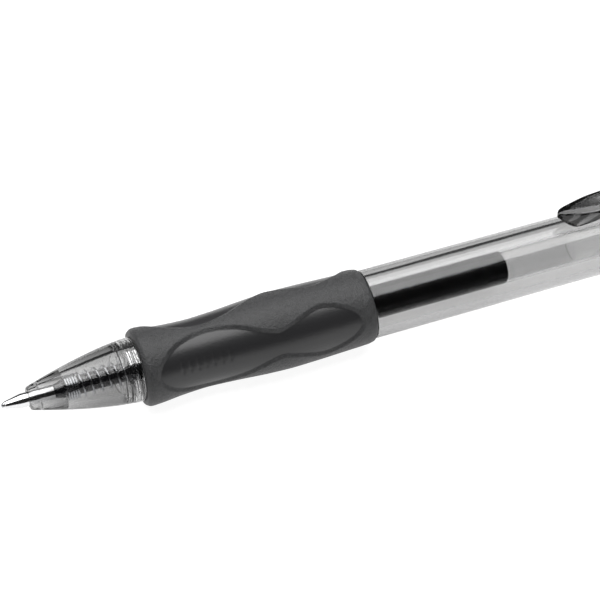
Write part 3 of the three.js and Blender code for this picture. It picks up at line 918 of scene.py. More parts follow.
@dataclass(frozen=True)
class TurnedMetal(Finish):
    """Metal with the rings of its turning.

    Args:
        ring_depth: Depth of the rings, in metres.
    """

    ring_depth: float = 0.0000004

    def make(self, effects: Effects) -> bpy.types.Material:
        """Builds the material."""
        material, tree, shader, place = self.begin()
        shader.inputs["Metallic"].default_value = 1.0
        rings = self.effect(tree, effects.lathe(), place, Amount=1.0)
        marks = self.effect(tree, effects.handling(), place, Amount=self.wear)
        dim = tuple(0.93 * part for part in self.colour)
        colour = tree.mixed(rings.outputs["Ring"], (*self.colour, 1.0), (*dim, 1.0))
        rough = tree.math("ADD", marks.outputs["Haze"], tree.math("MULTIPLY", rings.outputs["Ring"], 0.4))
        rough = tree.spread(rough, 0.0, 1.4, self.roughness, self.roughness + 0.2)
        tree.feed(shader.inputs["Base Color"], colour)
        tree.feed(shader.inputs["Roughness"], rough)
        tree.feed(shader.inputs["Normal"], tree.bump(rings.outputs["Ring"], self.ring_depth))
        return material


@dataclass(frozen=True)
class GripRubber(Finish):
    """Soft rubber with a matt grained skin and smoother finger recesses.

    Args:
        floor_colour: Base colour on the floor of a recess, linear.
        floor_roughness: Roughness there.
        grain_scale: Grains across a metre.
        grain_depth: Depth of the grain, in metres.
    """

    floor_colour: Colour = (0.02, 0.02, 0.021)
    floor_roughness: float = 0.3
    grain_scale: float = 4200.0
    grain_depth: float = 0.00008

    def make(self, effects: Effects) -> bpy.types.Material:
        """Builds the material, whose recesses follow the sleeve's own mask."""
        material, tree, shader, place = self.begin()
        floor = tree.node("ShaderNodeAttribute", attribute_name="recess_floor").outputs["Fac"]
        grain = self.effect(tree, effects.grain(), place, Scale=self.grain_scale, Amount=1.0)
        marks = self.effect(tree, effects.handling(), place, Amount=self.wear)
        # Painted shade: the grain's Shade mixes in a copy at half the colour in the grain's hollows.
        dim = tuple(0.5 * part for part in self.colour)
        land = tree.mixed(grain.outputs["Shade"], (*dim, 1.0), (*self.colour, 1.0))
        colour = tree.mixed(floor, land, (*self.floor_colour, 1.0))
        rough = tree.spread(floor, 0.0, 1.0, self.roughness, self.floor_roughness)
        rough = tree.math("ADD", rough, tree.math("MULTIPLY", marks.outputs["Haze"], 0.12))
        calm = tree.spread(floor, 0.0, 1.0, 1.0, 0.18)
        height = tree.math("MULTIPLY", grain.outputs["Height"], calm)
        tree.feed(shader.inputs["Base Color"], colour)
        tree.feed(shader.inputs["Roughness"], rough)
        tree.feed(shader.inputs["Normal"], tree.bump(height, self.grain_depth))
        return material


@dataclass(frozen=True)
class LitPaper(Finish):
    """Studio paper over a light table.

    Args:
        glow: Colour of the light that comes up through it, linear.
    """

    glow: Colour = (0.94, 0.94, 0.94)

    def make(self, effects: Effects) -> bpy.types.Material:
        """Builds the material."""
        material, tree, shader, place = self.begin()
        grain = self.effect(tree, effects.grain(), place, Scale=900.0, Amount=1.0)
        # Painted shade: the grain's Shade dims the paper's colour and its glow slightly in the grain's
        # hollows.
        dim = tuple(0.985 * part for part in self.colour)
        colour = tree.mixed(grain.outputs["Shade"], (*dim, 1.0), (*self.colour, 1.0))
        faint = tuple(0.98 * part for part in self.glow)
        light = tree.mixed(grain.outputs["Shade"], (*faint, 1.0), (*self.glow, 1.0))
        shader.inputs["Emission Strength"].default_value = 1.0
        shader.inputs["Specular IOR Level"].default_value = 0.1
        tree.feed(shader.inputs["Base Color"], colour)
        tree.feed(shader.inputs["Emission Color"], light)
        tree.feed(shader.inputs["Normal"], tree.bump(grain.outputs["Height"], 0.00002))
        return material


class Finishes:
    """Every finish of the pen, made once."""

    def __init__(self) -> None:
        """Makes the materials by slot."""
        effects = Effects()
        kinds: dict[Slot, Finish] = {
            Slot.CARBIDE: TurnedMetal("carbide_ball", (0.45, 0.46, 0.48), 0.1, 0.1),
            Slot.POINT_METAL: TurnedMetal("nickel_silver", (0.76, 0.76, 0.77), 0.1, 0.25),
            Slot.SPRING_STEEL: TurnedMetal("spring_wire", (0.74, 0.75, 0.77), 0.11, 0.1),
            Slot.CLEAR_GREY: ClearPlastic(
                "clear_grey_plastic", (0.97, 0.97, 0.97), 0.045, 0.2, deep=(0.93, 0.93, 0.93), body=275.0
            ),
            Slot.SMOKE_GREY: ClearPlastic(
                "smoke_grey_plastic", (0.95, 0.95, 0.95), 0.03, 0.4, deep=(0.78, 0.78, 0.78), body=640.0
            ),
            Slot.TUBE_PLASTIC: ClearPlastic(
                "tube_plastic", (0.96, 0.96, 0.96), 0.05, 0.1, ior=1.2, deep=(0.93, 0.93, 0.93), body=60.0
            ),
            Slot.FOLLOWER: ClearPlastic(
                "grease", (0.97, 0.97, 0.97), 0.1, 0.0, ior=1.02, deep=(0.94, 0.94, 0.94), body=30.0
            ),
            Slot.INK: SolidPlastic(
                "black_ink", (0.002, 0.002, 0.0022), 0.15, 0.0, grain_depth=0.000002, ior=1.12
            ),
            Slot.BLACK_PLASTIC: SolidPlastic("black_plastic", (0.005, 0.005, 0.006), 0.1, 0.3, polish=1.0),
            Slot.CAM_PLASTIC: SolidPlastic("white_acetal", (0.78, 0.78, 0.75), 0.38, 0.2, soft=0.3),
            Slot.GRIP_RUBBER: GripRubber("grip_rubber", (0.036, 0.0365, 0.038), 0.48, 0.4),
        }
        self.by_slot = {slot: kind.make(effects) for slot, kind in kinds.items()}
        smoked = ClearPlastic(
            "smoked_nose_plastic", (0.96, 0.96, 0.96), 0.03, 0.2, deep=(0.9, 0.9, 0.9), body=430.0
        )
        self.nose = smoked.make(effects)
        self.paper = LitPaper("studio_paper", (0.22, 0.22, 0.22), 0.9, 0.0).make(effects)

    def __getitem__(self, slot: Slot) -> bpy.types.Material:
        """The material of a slot."""
        return self.by_slot[slot]


# ------------------------------------------------------------------ writing point and refill


@dataclass
class Refill:
    """Ball, metal point, holder, ink tube with its ink and grease, and the vented plug.

    Args:
        ball_radius: Radius of the ball.
        point_radius: Radius of the metal point.
        point_length: From its lip to its shoulder.
        neck_radius: Radius of the holder's neck.
        neck_length: From the holder's front to its flange.
        tube_radius: Outside radius of the ink tube.
        tube_bore: Inside radius of the ink tube.
        wetting: How far the ink reaches into the tube's skin, so that no air shows between.
    """

    ball_radius: float = 0.35
    point_at: float = 0.2
    point_radius: float = 1.15
    point_cone: float = 2.9
    point_length: float = 8.2
    shank_radius: float = 0.85
    shank_length: float = 2.6
    holder_at: float = 8.5
    neck_radius: float = 1.45
    neck_length: float = 22.0
    flange: float = 0.8
    flange_radius: float = 2.35
    plug_length: float = 3.1
    tube_at: float = 31.4
    tube_end_at: float = 112.6
    tube_radius: float = 2.65
    tube_bore: float = 2.25
    ink_at: float = 34.5
    ink_end_at: float = 82.73
    meniscus: float = 0.5
    grease_length: float = 11.7
    wetting: float = 0.03

    def ball(self) -> Shell:
        """The writing ball."""
        steps = 40
        outline = [
            (
                -self.ball_radius * math.cos(math.pi * i / steps),
                self.ball_radius * math.sin(math.pi * i / steps),
            )
            for i in range(steps + 1)
        ]
        outline[0] = (-self.ball_radius, 0.0)
        outline[-1] = (self.ball_radius, 0.0)
        return turned(outline, 72)

    def point(self) -> Shell:
        """The metal point, which closes over the ball and ends in a shank."""
        lip = 0.36
        end = self.point_length + self.shank_length
        outline = [
            (0.0, lip),
            (0.0, lip + 0.06),
            (0.32, 0.53),
            (0.36, 0.6),
            (self.point_cone, self.point_radius),
            (self.point_length, self.point_radius),
            (self.point_length, self.shank_radius),
            (end, self.shank_radius),
            (end, 0.3),
            (0.6, 0.3),
            (0.34, 0.39),
            (0.15, 0.42),
        ]
        return turned(eased(outline, 0.12, 5), 128)

    def holder(self) -> Shell:
        """The black holder, whose neck carries the spring and whose plug closes the tube."""
        flange = self.neck_length + self.flange
        end = flange + self.plug_length
        bore = self.shank_radius + 0.05
        outline = [
            (0.0, bore),
            (0.0, 1.12),
            (0.4, 1.2),
            (1.3, self.neck_radius),
            (self.neck_length, self.neck_radius),
            (self.neck_length, self.flange_radius),
            (flange, self.flange_radius),
            (flange, self.tube_bore - 0.05),
            (end, self.tube_bore - 0.05),
            (end, 0.6),
            (2.9, 0.6),
            (2.9, bore),
        ]
        return turned(eased(outline, 0.12), 112)

    def tube(self) -> Shell:
        """The clear ink tube."""
        length = self.tube_end_at - self.tube_at
        outline = [
            (0.0, self.tube_bore),
            (0.0, self.tube_radius),
            (length, self.tube_radius),
            (length, self.tube_bore),
        ]
        return turned(eased(outline, 0.08), 144)

    def ink(self) -> Shell:
        """The ink, with the rounded end where the grease meets it."""
        length = self.ink_end_at - self.ink_at
        radius = self.tube_bore + self.wetting
        outline: Outline = [(0.0, 0.0), (0.0, radius)]
        for i in range(13):
            angle = i / 12 * math.pi / 2
            outline.append(
                (
                    length - self.meniscus + self.meniscus * math.sin(angle),
                    radius - self.meniscus + self.meniscus * math.cos(angle),
                )
            )
        outline.append((length, 0.0))
        return turned(outline, 144)

    def grease(self) -> Shell:
        """The clear grease that follows the ink, domed at its free end."""
        radius = self.tube_bore - 0.04
        end = self.grease_length
        outline: Outline = [(0.0, 0.0), (0.0, radius), (end, radius), (end - 0.5, 1.2), (end - 0.7, 0.0)]
        return turned(eased(outline, 0.25, 6), 96)

    def plug(self) -> Shell:
        """The vented plug that the rotor presses on."""
        outline = [
            (0.0, 0.4),
            (0.0, self.tube_bore - 0.05),
            (2.6, self.tube_bore - 0.05),
            (2.6, self.tube_radius),
            (2.9, self.tube_radius),
            (2.9, 0.4),
        ]
        return turned(eased(outline, 0.1), 96)

    def build(self, maker: Maker, finishes: Finishes) -> None:
        """Makes the refill's pieces."""
        plan: list[tuple[str, Shell, float, Body, Slot]] = [
            ("writing_ball", self.ball(), self.ball_radius, Body.BALL, Slot.CARBIDE),
            ("metal_point", self.point(), self.point_at, Body.REFILL, Slot.POINT_METAL),
            ("holder", self.holder(), self.holder_at, Body.REFILL, Slot.BLACK_PLASTIC),
            ("ink_tube", self.tube(), self.tube_at, Body.REFILL, Slot.TUBE_PLASTIC),
            ("ink_fill", self.ink(), self.ink_at, Body.REFILL, Slot.INK),
            ("grease_plug", self.grease(), self.ink_end_at + 0.1, Body.REFILL, Slot.FOLLOWER),
            ("vent_plug", self.plug(), 110.1, Body.REFILL, Slot.CAM_PLASTIC),
        ]
        nodes = ("ball", "point", "point_holder", "refill_tube", "ink", "ink_follower", "refill_plug")
        for (name, shell, station, body, slot), node in zip(plan, nodes):
            obj = maker.piece(name, shell.mesh(name), station, finishes[slot])
            if slot in (Slot.TUBE_PLASTIC, Slot.FOLLOWER):
                obj.visible_shadow = False
            maker.hand_over(obj, body, slot, node)


@dataclass
class SpringCoil:
    """Return spring, close-wound at both ends.

    Args:
        front_at: Station of the middle of its first wire.
        rear_at: Station of the middle of its last wire.
        coil_radius: Radius to the middle of the wire.
        wire_radius: Radius of the wire.
        closed_pitch: Pitch of the closed turns.
    """

    front_at: float = 10.025
    rear_at: float = 30.225
    coil_radius: float = 1.87
    wire_radius: float = 0.175
    closed_pitch: float = 0.4
    front_turns: float = 5.0
    open_turns: float = 12.5
    rear_turns: float = 2.0
    steps: int = 40

    def build(self, maker: Maker, finishes: Finishes) -> None:
        """Winds the spring."""
        length = self.rear_at - self.front_at
        closed = (self.front_turns + self.rear_turns) * self.closed_pitch
        seed = bpy.data.meshes.new("spring_seed")
        mesh = coil_tree().run(
            seed,
            Turns=self.front_turns + self.open_turns + self.rear_turns,
            Front_Turns=self.front_turns,
            Open_Turns=self.open_turns,
            Closed_Pitch=self.closed_pitch,
            Open_Pitch=(length - closed) / self.open_turns,
            Coil_Radius=self.coil_radius,
            Wire_Radius=self.wire_radius,
            Steps_per_Turn=self.steps,
            Material=finishes[Slot.SPRING_STEEL],
        )
        mesh.shade_smooth()
        obj = maker.piece("return_spring", mesh, self.front_at, finishes[Slot.SPRING_STEEL], 60.0)
        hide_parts("spring")
        start = maker.axis.at(self.front_at + self.front_turns * self.closed_pitch)
        end = maker.axis.at(self.rear_at - self.rear_turns * self.closed_pitch)
        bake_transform(obj)
        report(obj, Body.REFILL.value)


# ------------------------------------------------------------------ nose cone, barrel and grip


@dataclass
class ScrewThread:
    """Right-hand thread between the nose cone and the barrel.

    Args:
        pitch: Pitch of the thread.
        turns: Number of turns.
        height: Height of a turn.
        rows: Rings of corners on each turn.
        flank: How steep the flanks are; 1 is a plain wave.
    """

    pitch: float = 0.9
    turns: float = 5.0
    height: float = 0.3
    rows: int = 22
    flank: float = 1.5

    @property
    def length(self) -> float:
        """Length of the threaded stretch."""
        return self.pitch * self.turns

    def outline(self, start: float, radius: float) -> Outline:
        """Close rings of one radius, ready to be raised."""
        count = int(self.turns * self.rows)
        return [(start + i * self.length / count, radius) for i in range(count + 1)]

    def raised(
        self, shell: Shell, name: str, start: float, root: float, side: Side, material: bpy.types.Material
    ) -> bpy.types.Mesh:
        """Raises the thread on a turned body.

        Args:
            shell: The body, with close rings at the root radius.
            name: Name of the mesh.
            start: Where the thread starts.
            root: Its root radius.
            side: Which way it is raised.
            material: The body's finish.

        Returns:
            The threaded mesh, in millimetres.
        """
        return thread_tree().run(
            shell.mesh(name),
            Start=start,
            Length=self.length,
            Pitch=self.pitch,
            Height=self.height,
            Root_Radius=root,
            Sign=side.value,
            Flank=self.flank,
            Material=material,
        )


@dataclass
class NoseCone:
    """Clear nose cone with a spring seat inside and a threaded spigot behind.

    Args:
        at: Station of its rim.
        length: From the rim to the seam.
        rim_radius: Radius of the rim.
        seam_radius: Radius at the seam.
    """

    at: float = 4.2
    length: float = 14.2
    rim_radius: float = 1.8
    seam_radius: float = 4.86
    belly_at: float = 8.1
    belly_drop: float = 0.73
    bore: float = 1.3
    bore_length: float = 1.6
    throat: float = 1.65
    seat_at: float = 5.55
    seat_radius: float = 2.395
    male_root: float = 3.85
    spigot_bore: float = 3.35
    tail: float = 1.2
    thread: ScrewThread = field(default_factory=ScrewThread)

    def outside(self, steps: int = 40) -> Outline:
        """The bellied outside from the rim to the seam."""
        rim = np.array([0.0, self.rim_radius])
        belly = np.array([self.belly_at, self.seam_radius - self.belly_drop])
        seam = np.array([self.length, self.seam_radius])
        return bowed(rim, belly, seam, steps)

    def build(self, maker: Maker, finishes: Finishes) -> None:
        """Turns the cone and raises its thread."""
        thread_at = self.length + 0.8
        end = thread_at + self.thread.length + self.tail
        front = eased([(0.0, self.bore + 0.3), (0.0, self.bore), (0.3, self.bore)], 0.1)[1:-1]
        outline: Outline = [
            *reversed(front),
            (0.0, self.rim_radius - 0.22),
            (0.06, self.rim_radius - 0.07),
            *[p for p in self.outside() if p[0] > 0.25],
            (self.length, self.male_root),
            *self.thread.outline(thread_at, self.male_root),
            (end, self.male_root),
            (end, self.spigot_bore),
            (self.length, self.spigot_bore),
            (self.seat_at, self.seat_radius),
            (self.seat_at, self.throat),
            (self.bore_length + self.throat - self.bore, self.throat),
            (self.bore_length, self.bore),
        ]
        shell = turned(eased(outline, 0.1, 4), 160)
        material = finishes.nose
        mesh = self.thread.raised(shell, "nose", thread_at, self.male_root, Side.MALE, material)
        obj = maker.piece("nose_cone_clear", mesh, self.at, material)
        obj.visible_shadow = False
        maker.hand_over(obj, Body.NOSE, Slot.CLEAR_GREY, "nose_cone")


@dataclass
class Barrel:
    """Clear barrel: a threaded front, a seat for the grip, and a spigot for the collar.

    Args:
        at: Station of its front.
        length: Its length.
        radius: Its outside radius.
        bore: Its inside radius.
    """

    at: float = 18.5
    length: float = 110.5
    radius: float = 5.5
    bore: float = 4.2
    seam_radius: float = 4.86
    seam_rise: float = 0.2
    seat_radius: float = 4.7
    seat_bore: float = 3.6
    seat_at: float = 2.8
    seat_end: float = 40.7
    female_root: float = 4.3
    spigot_length: float = 5.5
    spigot_radius: float = 5.0
    thread: ScrewThread = field(default_factory=ScrewThread)

    def build(self, maker: Maker, finishes: Finishes) -> None:
        """Turns the barrel and raises its thread."""
        thread_at = 0.7
        relief_end = thread_at + self.thread.length + 1.5
        spigot_at = self.length - self.spigot_length
        slope = self.bore - self.seat_bore
        outline: Outline = [
            (0.0, self.female_root),
            (0.0, self.seam_radius),
            (self.seat_at / 2, self.seam_radius + 0.75 * self.seam_rise),
            (self.seat_at, self.seam_radius + self.seam_rise),
            (self.seat_at, self.seat_radius),
            (self.seat_end, self.seat_radius),
            (self.seat_end, self.radius),
            (spigot_at, self.radius),
            (spigot_at, self.spigot_radius),
            (self.length, self.spigot_radius),
            (self.length, self.bore),
            (self.seat_end, self.bore),
            (self.seat_end - slope, self.seat_bore),
            (relief_end, self.seat_bore),
            (relief_end, self.female_root),
            *reversed(self.thread.outline(thread_at, self.female_root)),
        ]
        shell = turned(eased(outline, 0.1, 4), 160)
        material = finishes[Slot.CLEAR_GREY]
        mesh = self.thread.raised(shell, "tube", thread_at, self.female_root, Side.FEMALE, material)
        obj = maker.piece("barrel_clear", mesh, self.at, material)
        obj.visible_shadow = False
        maker.hand_over(obj, Body.BARREL, Slot.CLEAR_GREY, "barrel")


@dataclass
class GripSleeve:
    """Rubber sleeve with three figure-of-eight finger recesses and a row of grooves in each.

    Args:
        at: Station of its front.
        length: Its length.
        bore: Its inside radius.
        recess_depth: Depth of a recess below the skin.
        bevel: Width of the slope from the skin to the floor of a recess.
        turn: Degrees from the clip's side to the nearest recess.
        groove_depth: Depth of a groove in the floor of a recess.
        groove_fade: Length over which a groove runs out at its ends.
        recess_reach: Degrees to each side of its middle that a recess may take up.
        bore_rows: Rings of corners along the bore.
    """

    at: float = 21.4
    length: float = 37.7
    bore: float = 4.75
    recess_depth: float = 0.35
    bevel: float = 0.5
    turn: float = 66.0
    recesses: int = 3
    grooves: int = 7
    groove_first: float = 6.0
    groove_pitch: float = 1.27
    groove_half_width: float = 0.27
    groove_half_length: float = 1.6
    groove_depth: float = 0.09
    groove_fade: float = 1.0
    groove_middle: float = -0.35
    recess_reach: float = 72.0
    rows: int = 236
    bore_rows: int = 12
    sides: int = 336
    skin: Outline = field(
        default_factory=lambda: [
            (0.0, 0.65), (0.003, 1.05), (0.016, 1.38), (0.035, 1.45), (0.07, 1.35),
            (0.146, 1.05), (0.252, 0.87), (0.385, 1.1), (0.517, 1.48), (0.623, 1.65),
            (0.756, 1.55), (0.889, 1.37), (0.966, 1.3), (0.992, 1.1), (1.0, 0.75),
        ]
    )
    edge: Outline = field(
        default_factory=lambda: [
            (0.058, 0.0), (0.09, 2.1), (0.164, 3.7), (0.286, 4.34), (0.411, 3.9), (0.517, 2.5),
            (0.578, 1.95), (0.637, 2.5), (0.761, 3.75), (0.859, 2.9), (0.915, 1.5), (0.931, 0.0),
        ]
    )

    def wall(self, x: np.ndarray) -> np.ndarray:
        """Thickness of the sleeve at each place along it, eased between its set points."""
        shares, walls = np.array(self.skin).T
        fine = np.linspace(-0.2, 1.2, 2801)
        plain = np.interp(fine, shares, walls)
        reach = np.arange(-120, 121) * 0.0005
        bell = np.exp(-0.5 * (reach / 0.026) ** 2)
        calm = np.convolve(plain, bell / bell.sum(), "same")
        share = x / self.length
        near = np.minimum(share, 1 - share)
        weight = softened(np.clip((near - 0.02) / 0.05, 0, 1))
        return np.interp(share, fine, calm) * weight + np.interp(share, shares, walls) * (1 - weight)

    def edge_line(self) -> np.ndarray:
        """Closed smooth edge of a recess as rows of (x, y)."""
        there = [(share * self.length, half) for share, half in self.edge]
        back = [(x, -half) for x, half in reversed(there[1:-1])]
        loop = np.array(there + back)
        count = len(loop)
        made = []
        for i in range(count):
            p0, p1, p2, p3 = (loop[(i + k) % count] for k in (-1, 0, 1, 2))
            for t in np.linspace(0, 1, 12, endpoint=False):
                made.append(
                    0.5
                    * (
                        2 * p1
                        + (p2 - p0) * t
                        + (2 * p0 - 5 * p1 + 4 * p2 - p3) * t**2
                        + (3 * p1 - p0 - 3 * p2 + p3) * t**3
                    )
                )
        return np.array(made)

    def inside(self, x: np.ndarray, y: np.ndarray) -> np.ndarray:
        """How far each place is inside the edge of a recess, negative outside it."""
        line = self.edge_line()
        ahead = np.roll(line, -1, axis=0)
        best = np.full(x.shape, 1e9)
        crossings = np.zeros(x.shape, int)
        for (x0, y0), (x1, y1) in zip(line, ahead):
            dx, dy = x1 - x0, y1 - y0
            t = np.clip(((x - x0) * dx + (y - y0) * dy) / (dx * dx + dy * dy), 0, 1)
            best = np.minimum(best, np.hypot(x - x0 - t * dx, y - y0 - t * dy))
            spans = (y0 > y) != (y1 > y)
            with np.errstate(divide="ignore", invalid="ignore"):
                at = x0 + (y - y0) * dx / (dy if dy else 1e-12)
            crossings += spans & (x < at)
        return np.where(crossings % 2 == 1, best, -best)

    def grooved(self, x: np.ndarray, y: np.ndarray) -> np.ndarray:
        """Depth of the short grooves in the front of a recess at each place."""
        drop = np.zeros_like(x)
        ends = (self.groove_half_length - np.abs(y - self.groove_middle)) / self.groove_fade
        across = softened(np.clip(ends, 0, 1))
        for i in range(self.grooves):
            middle = self.groove_first + i * self.groove_pitch
            drop += np.exp(-(((x - middle) / self.groove_half_width) ** 2))
        return self.groove_depth * drop * across

    def shell(self) -> Shell:
        """The sleeve's closed skin with a mask on the floors of its recesses."""
        ends = np.array([0.0, 0.02, 0.06, 0.11, 0.18, 0.28, 0.4])
        middle = np.linspace(0.55, self.length - 0.55, self.rows)
        x = np.concatenate([ends, middle, (self.length - ends)[::-1]])
        outside = self.bore + self.wall(x)
        angle = np.arange(self.sides) * 2 * math.pi / self.sides
        grid_x = np.repeat(x[:, None], self.sides, 1)
        radius = np.repeat(outside[:, None], self.sides, 1)
        drop = np.zeros_like(radius)
        floor = np.zeros_like(radius)
        for i in range(self.recesses):
            centre = math.radians(self.turn + i * 360 / self.recesses)
            away = (angle - centre + math.pi) % (2 * math.pi) - math.pi
            columns = np.abs(away) < math.radians(self.recess_reach)
            part = grid_x[:, columns]
            round_it = radius[:, columns] * np.sin(away[columns])[None, :]
            depth_in = self.inside(part, round_it)
            slope = np.clip(depth_in / self.bevel + 1, 0, 1)
            drop[:, columns] += self.recess_depth * (0.35 * slope + 0.65 * softened(slope))
            drop[:, columns] += self.grooved(part, round_it)
            mask = np.clip((depth_in + 0.1) / 0.2, 0, 1)
            floor[:, columns] = np.maximum(floor[:, columns], mask)
        radius = radius - drop
        ring = np.stack([grid_x, -radius * np.sin(angle)[None, :], radius * np.cos(angle)[None, :]], 2)
        inner_x = np.linspace(self.length, 0.0, self.bore_rows)
        inner = np.stack(
            [
                np.repeat(inner_x[:, None], self.sides, 1),
                np.repeat(-self.bore * np.sin(angle)[None, :], self.bore_rows, 0),
                np.repeat(self.bore * np.cos(angle)[None, :], self.bore_rows, 0),
            ],
            2,
        )
        points = np.vstack([ring.reshape(-1, 3), inner.reshape(-1, 3)])
        masks = np.concatenate([floor.ravel(), np.zeros(self.bore_rows * self.sides)])
        faces = quilted(len(x) + self.bore_rows, self.sides, closed=True)
        return Shell(points, faces, {"recess_floor": masks}).outward()

    def build(self, maker: Maker, finishes: Finishes) -> None:
        """Moulds the sleeve with its recesses and their grooves."""
        mesh = self.shell().mesh("sleeve")
        obj = maker.piece("grip_sleeve_rubber", mesh, self.at, finishes[Slot.GRIP_RUBBER], 50.0)
        maker.hand_over(obj, Body.BARREL, Slot.GRIP_RUBBER, "grip_sleeve")


# ------------------------------------------------------------------ click works and button


@dataclass
class ClickWorks:
    """Guide sleeve, rotor, plunger and push button.

    Args:
        guide_at: Station of the guide's front.
        rotor_at: Station of the rotor's front.
        plunger_at: Station of the plunger's stem.
        button_at: Station of the button's open end.
    """

    guide_at: float = 111.0
    guide_length: float = 18.0
    guide_radius: float = 4.15
    channel_radius: float = 3.8
    rib_radius: float = 3.25
    rib_count: int = 4
    rib_half_angle: float = 15.0
    rib_front: float = 6.3
    helix_slope: float = 6.0 / 45.0
    rotor_at: float = 113.3
    rotor_length: float = 3.8
    body_radius: float = 2.95
    fin_radius: float = 3.7
    fin_half_angle: float = 7.0
    fin_length: float = 3.0
    boss_length: float = 0.7
    tooth_count: int = 8
    tooth_height: float = 0.8
    plunger_at: float = 115.4
    stem_length: float = 3.6
    stem_radius: float = 1.15
    crown_length: float = 3.3
    tail_length: float = 7.2
    button_at: float = 122.4
    button_length: float = 21.55
    button_radius: float = 3.15
    button_bore: float = 2.6
    button_edge: float = 0.6

    def around(
        self, block: Shell, count: int, turn: float, material: bpy.types.Material
    ) -> bpy.types.Mesh:
        """Repeats a block round the axis.

        Args:
            block: The block, in the piece's own frame.
            count: How many there are.
            turn: Degrees that the first is turned by.
            material: Finish of the blocks.

        Returns:
            One mesh of all the blocks, in millimetres.
        """
        mesh = block.mesh("block")
        return round_tree().run(mesh, Count=count, Turn=math.radians(turn), Material=material)

    def merged(self, name: str, body: Shell, *rows: bpy.types.Mesh) -> bpy.types.Mesh:
        """One mesh of a body and the rows of blocks on it."""
        made = bmesh.new()
        made.from_mesh(body.mesh(name))
        for row in rows:
            made.from_mesh(row)
        mesh = bpy.data.meshes.new(name)
        made.to_mesh(mesh)
        made.free()
        mesh.shade_smooth()
        return mesh

    def slab(self, half: float, front: tuple[float, float], back: tuple[float, float]) -> Outline:
        """A flat outline of (degrees, x) with sloped ends, fine enough to wrap round."""
        steps = 6
        spots = [-half + 2 * half * i / steps for i in range(steps + 1)]
        ahead = [(a, front[0] + (front[1] - front[0]) * (a + half) / (2 * half)) for a in spots]
        behind = [(a, back[0] + (back[1] - back[0]) * (a + half) / (2 * half)) for a in spots]
        return ahead + behind[::-1]

    def tooth(self, x: float, sign: int) -> Outline:
        """One sloped tooth of a crown whose root face is at x."""
        width = 360 / self.tooth_count - 1
        root = x - sign * self.tooth_height / 2
        peak = x + sign * self.tooth_height
        ends = (x, peak) if sign > 0 else (peak, x)
        spots = [width * i / 6 for i in range(7)]
        tops = [(a, ends[0] + (ends[1] - ends[0]) * a / width) for a in spots]
        return [(a, root) for a in spots] + tops[::-1]

    def guide(self, material: bpy.types.Material) -> bpy.types.Mesh:
        """The guide sleeve, whose ribs end in the slopes that the rotor rests on."""
        tube = [
            (0.0, self.channel_radius),
            (0.0, self.guide_radius),
            (self.guide_length, self.guide_radius),
            (self.guide_length, self.channel_radius),
        ]
        drop = self.rib_half_angle * self.helix_slope
        ends = (self.rib_front - drop, self.rib_front + drop)
        outline = self.slab(self.rib_half_angle, ends, (self.guide_length - 0.05,) * 2)
        rib = wrapped(outline, self.rib_radius, self.channel_radius + 0.15)
        ribs = self.around(rib, self.rib_count, 0.0, material)
        return self.merged("guide", turned(eased(tube, 0.1), 128), ribs)

    def rotor(self, material: bpy.types.Material) -> bpy.types.Mesh:
        """The rotor, with fins that step from rib to channel and a crown of teeth."""
        body = [
            (0.0, 0.0),
            (0.0, 2.0),
            (self.boss_length, 2.0),
            (self.boss_length, self.body_radius),
            (self.rotor_length, self.body_radius),
            (self.rotor_length, 1.3),
            (1.2, 1.3),
            (1.2, 0.0),
        ]
        rise = self.fin_half_angle * self.helix_slope
        end = self.boss_length + self.fin_length
        outline = self.slab(self.fin_half_angle, (self.boss_length,) * 2, (end - rise, end + rise))
        fin = wrapped(outline, self.body_radius - 0.2, self.fin_radius)
        fins = self.around(fin, self.rib_count, 0.0, material)
        tooth = wrapped(self.tooth(self.rotor_length, 1), 1.45, self.body_radius - 0.05)
        teeth = self.around(tooth, self.tooth_count, 0.0, material)
        return self.merged("rotor", turned(eased(body, 0.1), 112), fins, teeth)

    def plunger(self, material: bpy.types.Material) -> bpy.types.Mesh:
        """The plunger, whose crown faces the rotor and whose tail holds the button."""
        tail = self.stem_length + self.crown_length
        end = tail + self.tail_length
        body = [
            (0.0, 0.0),
            (0.0, self.stem_radius),
            (self.stem_length, self.stem_radius),
            (self.stem_length, self.body_radius),
            (tail, self.body_radius),
            (tail, self.button_bore - 0.05),
            (end, self.button_bore - 0.05),
            (end, 1.7),
            (end - 6.0, 1.7),
            (end - 6.0, 0.0),
        ]
        outline = self.slab(12.0, (self.stem_length + 0.05,) * 2, (tail - 0.05,) * 2)
        fin = wrapped(outline, self.body_radius - 0.2, self.fin_radius)
        fins = self.around(fin, self.rib_count, 45.0, material)
        tooth = wrapped(self.tooth(self.stem_length, -1), 1.45, self.body_radius - 0.05)
        teeth = self.around(tooth, self.tooth_count, 0.0, material)
        return self.merged("plunger", turned(eased(body, 0.1), 112), fins, teeth)

    def button(self) -> Shell:
        """The button: a cap over the plunger's tail with a domed edge for the thumb."""
        floor = self.button_length - 1.2
        outline: Outline = [
            (floor, 0.0),
            (floor, self.button_bore),
            (0.0, self.button_bore),
            (0.0, self.button_radius),
        ]
        for i in range(13):
            angle = i / 12 * math.pi / 2
            outline.append(
                (
                    self.button_length - self.button_edge * (1 - math.sin(angle)),
                    self.button_radius - self.button_edge * (1 - math.cos(angle)),
                )
            )
        outline.append((self.button_length, 0.0))
        return turned(eased(outline, 0.06), 128)

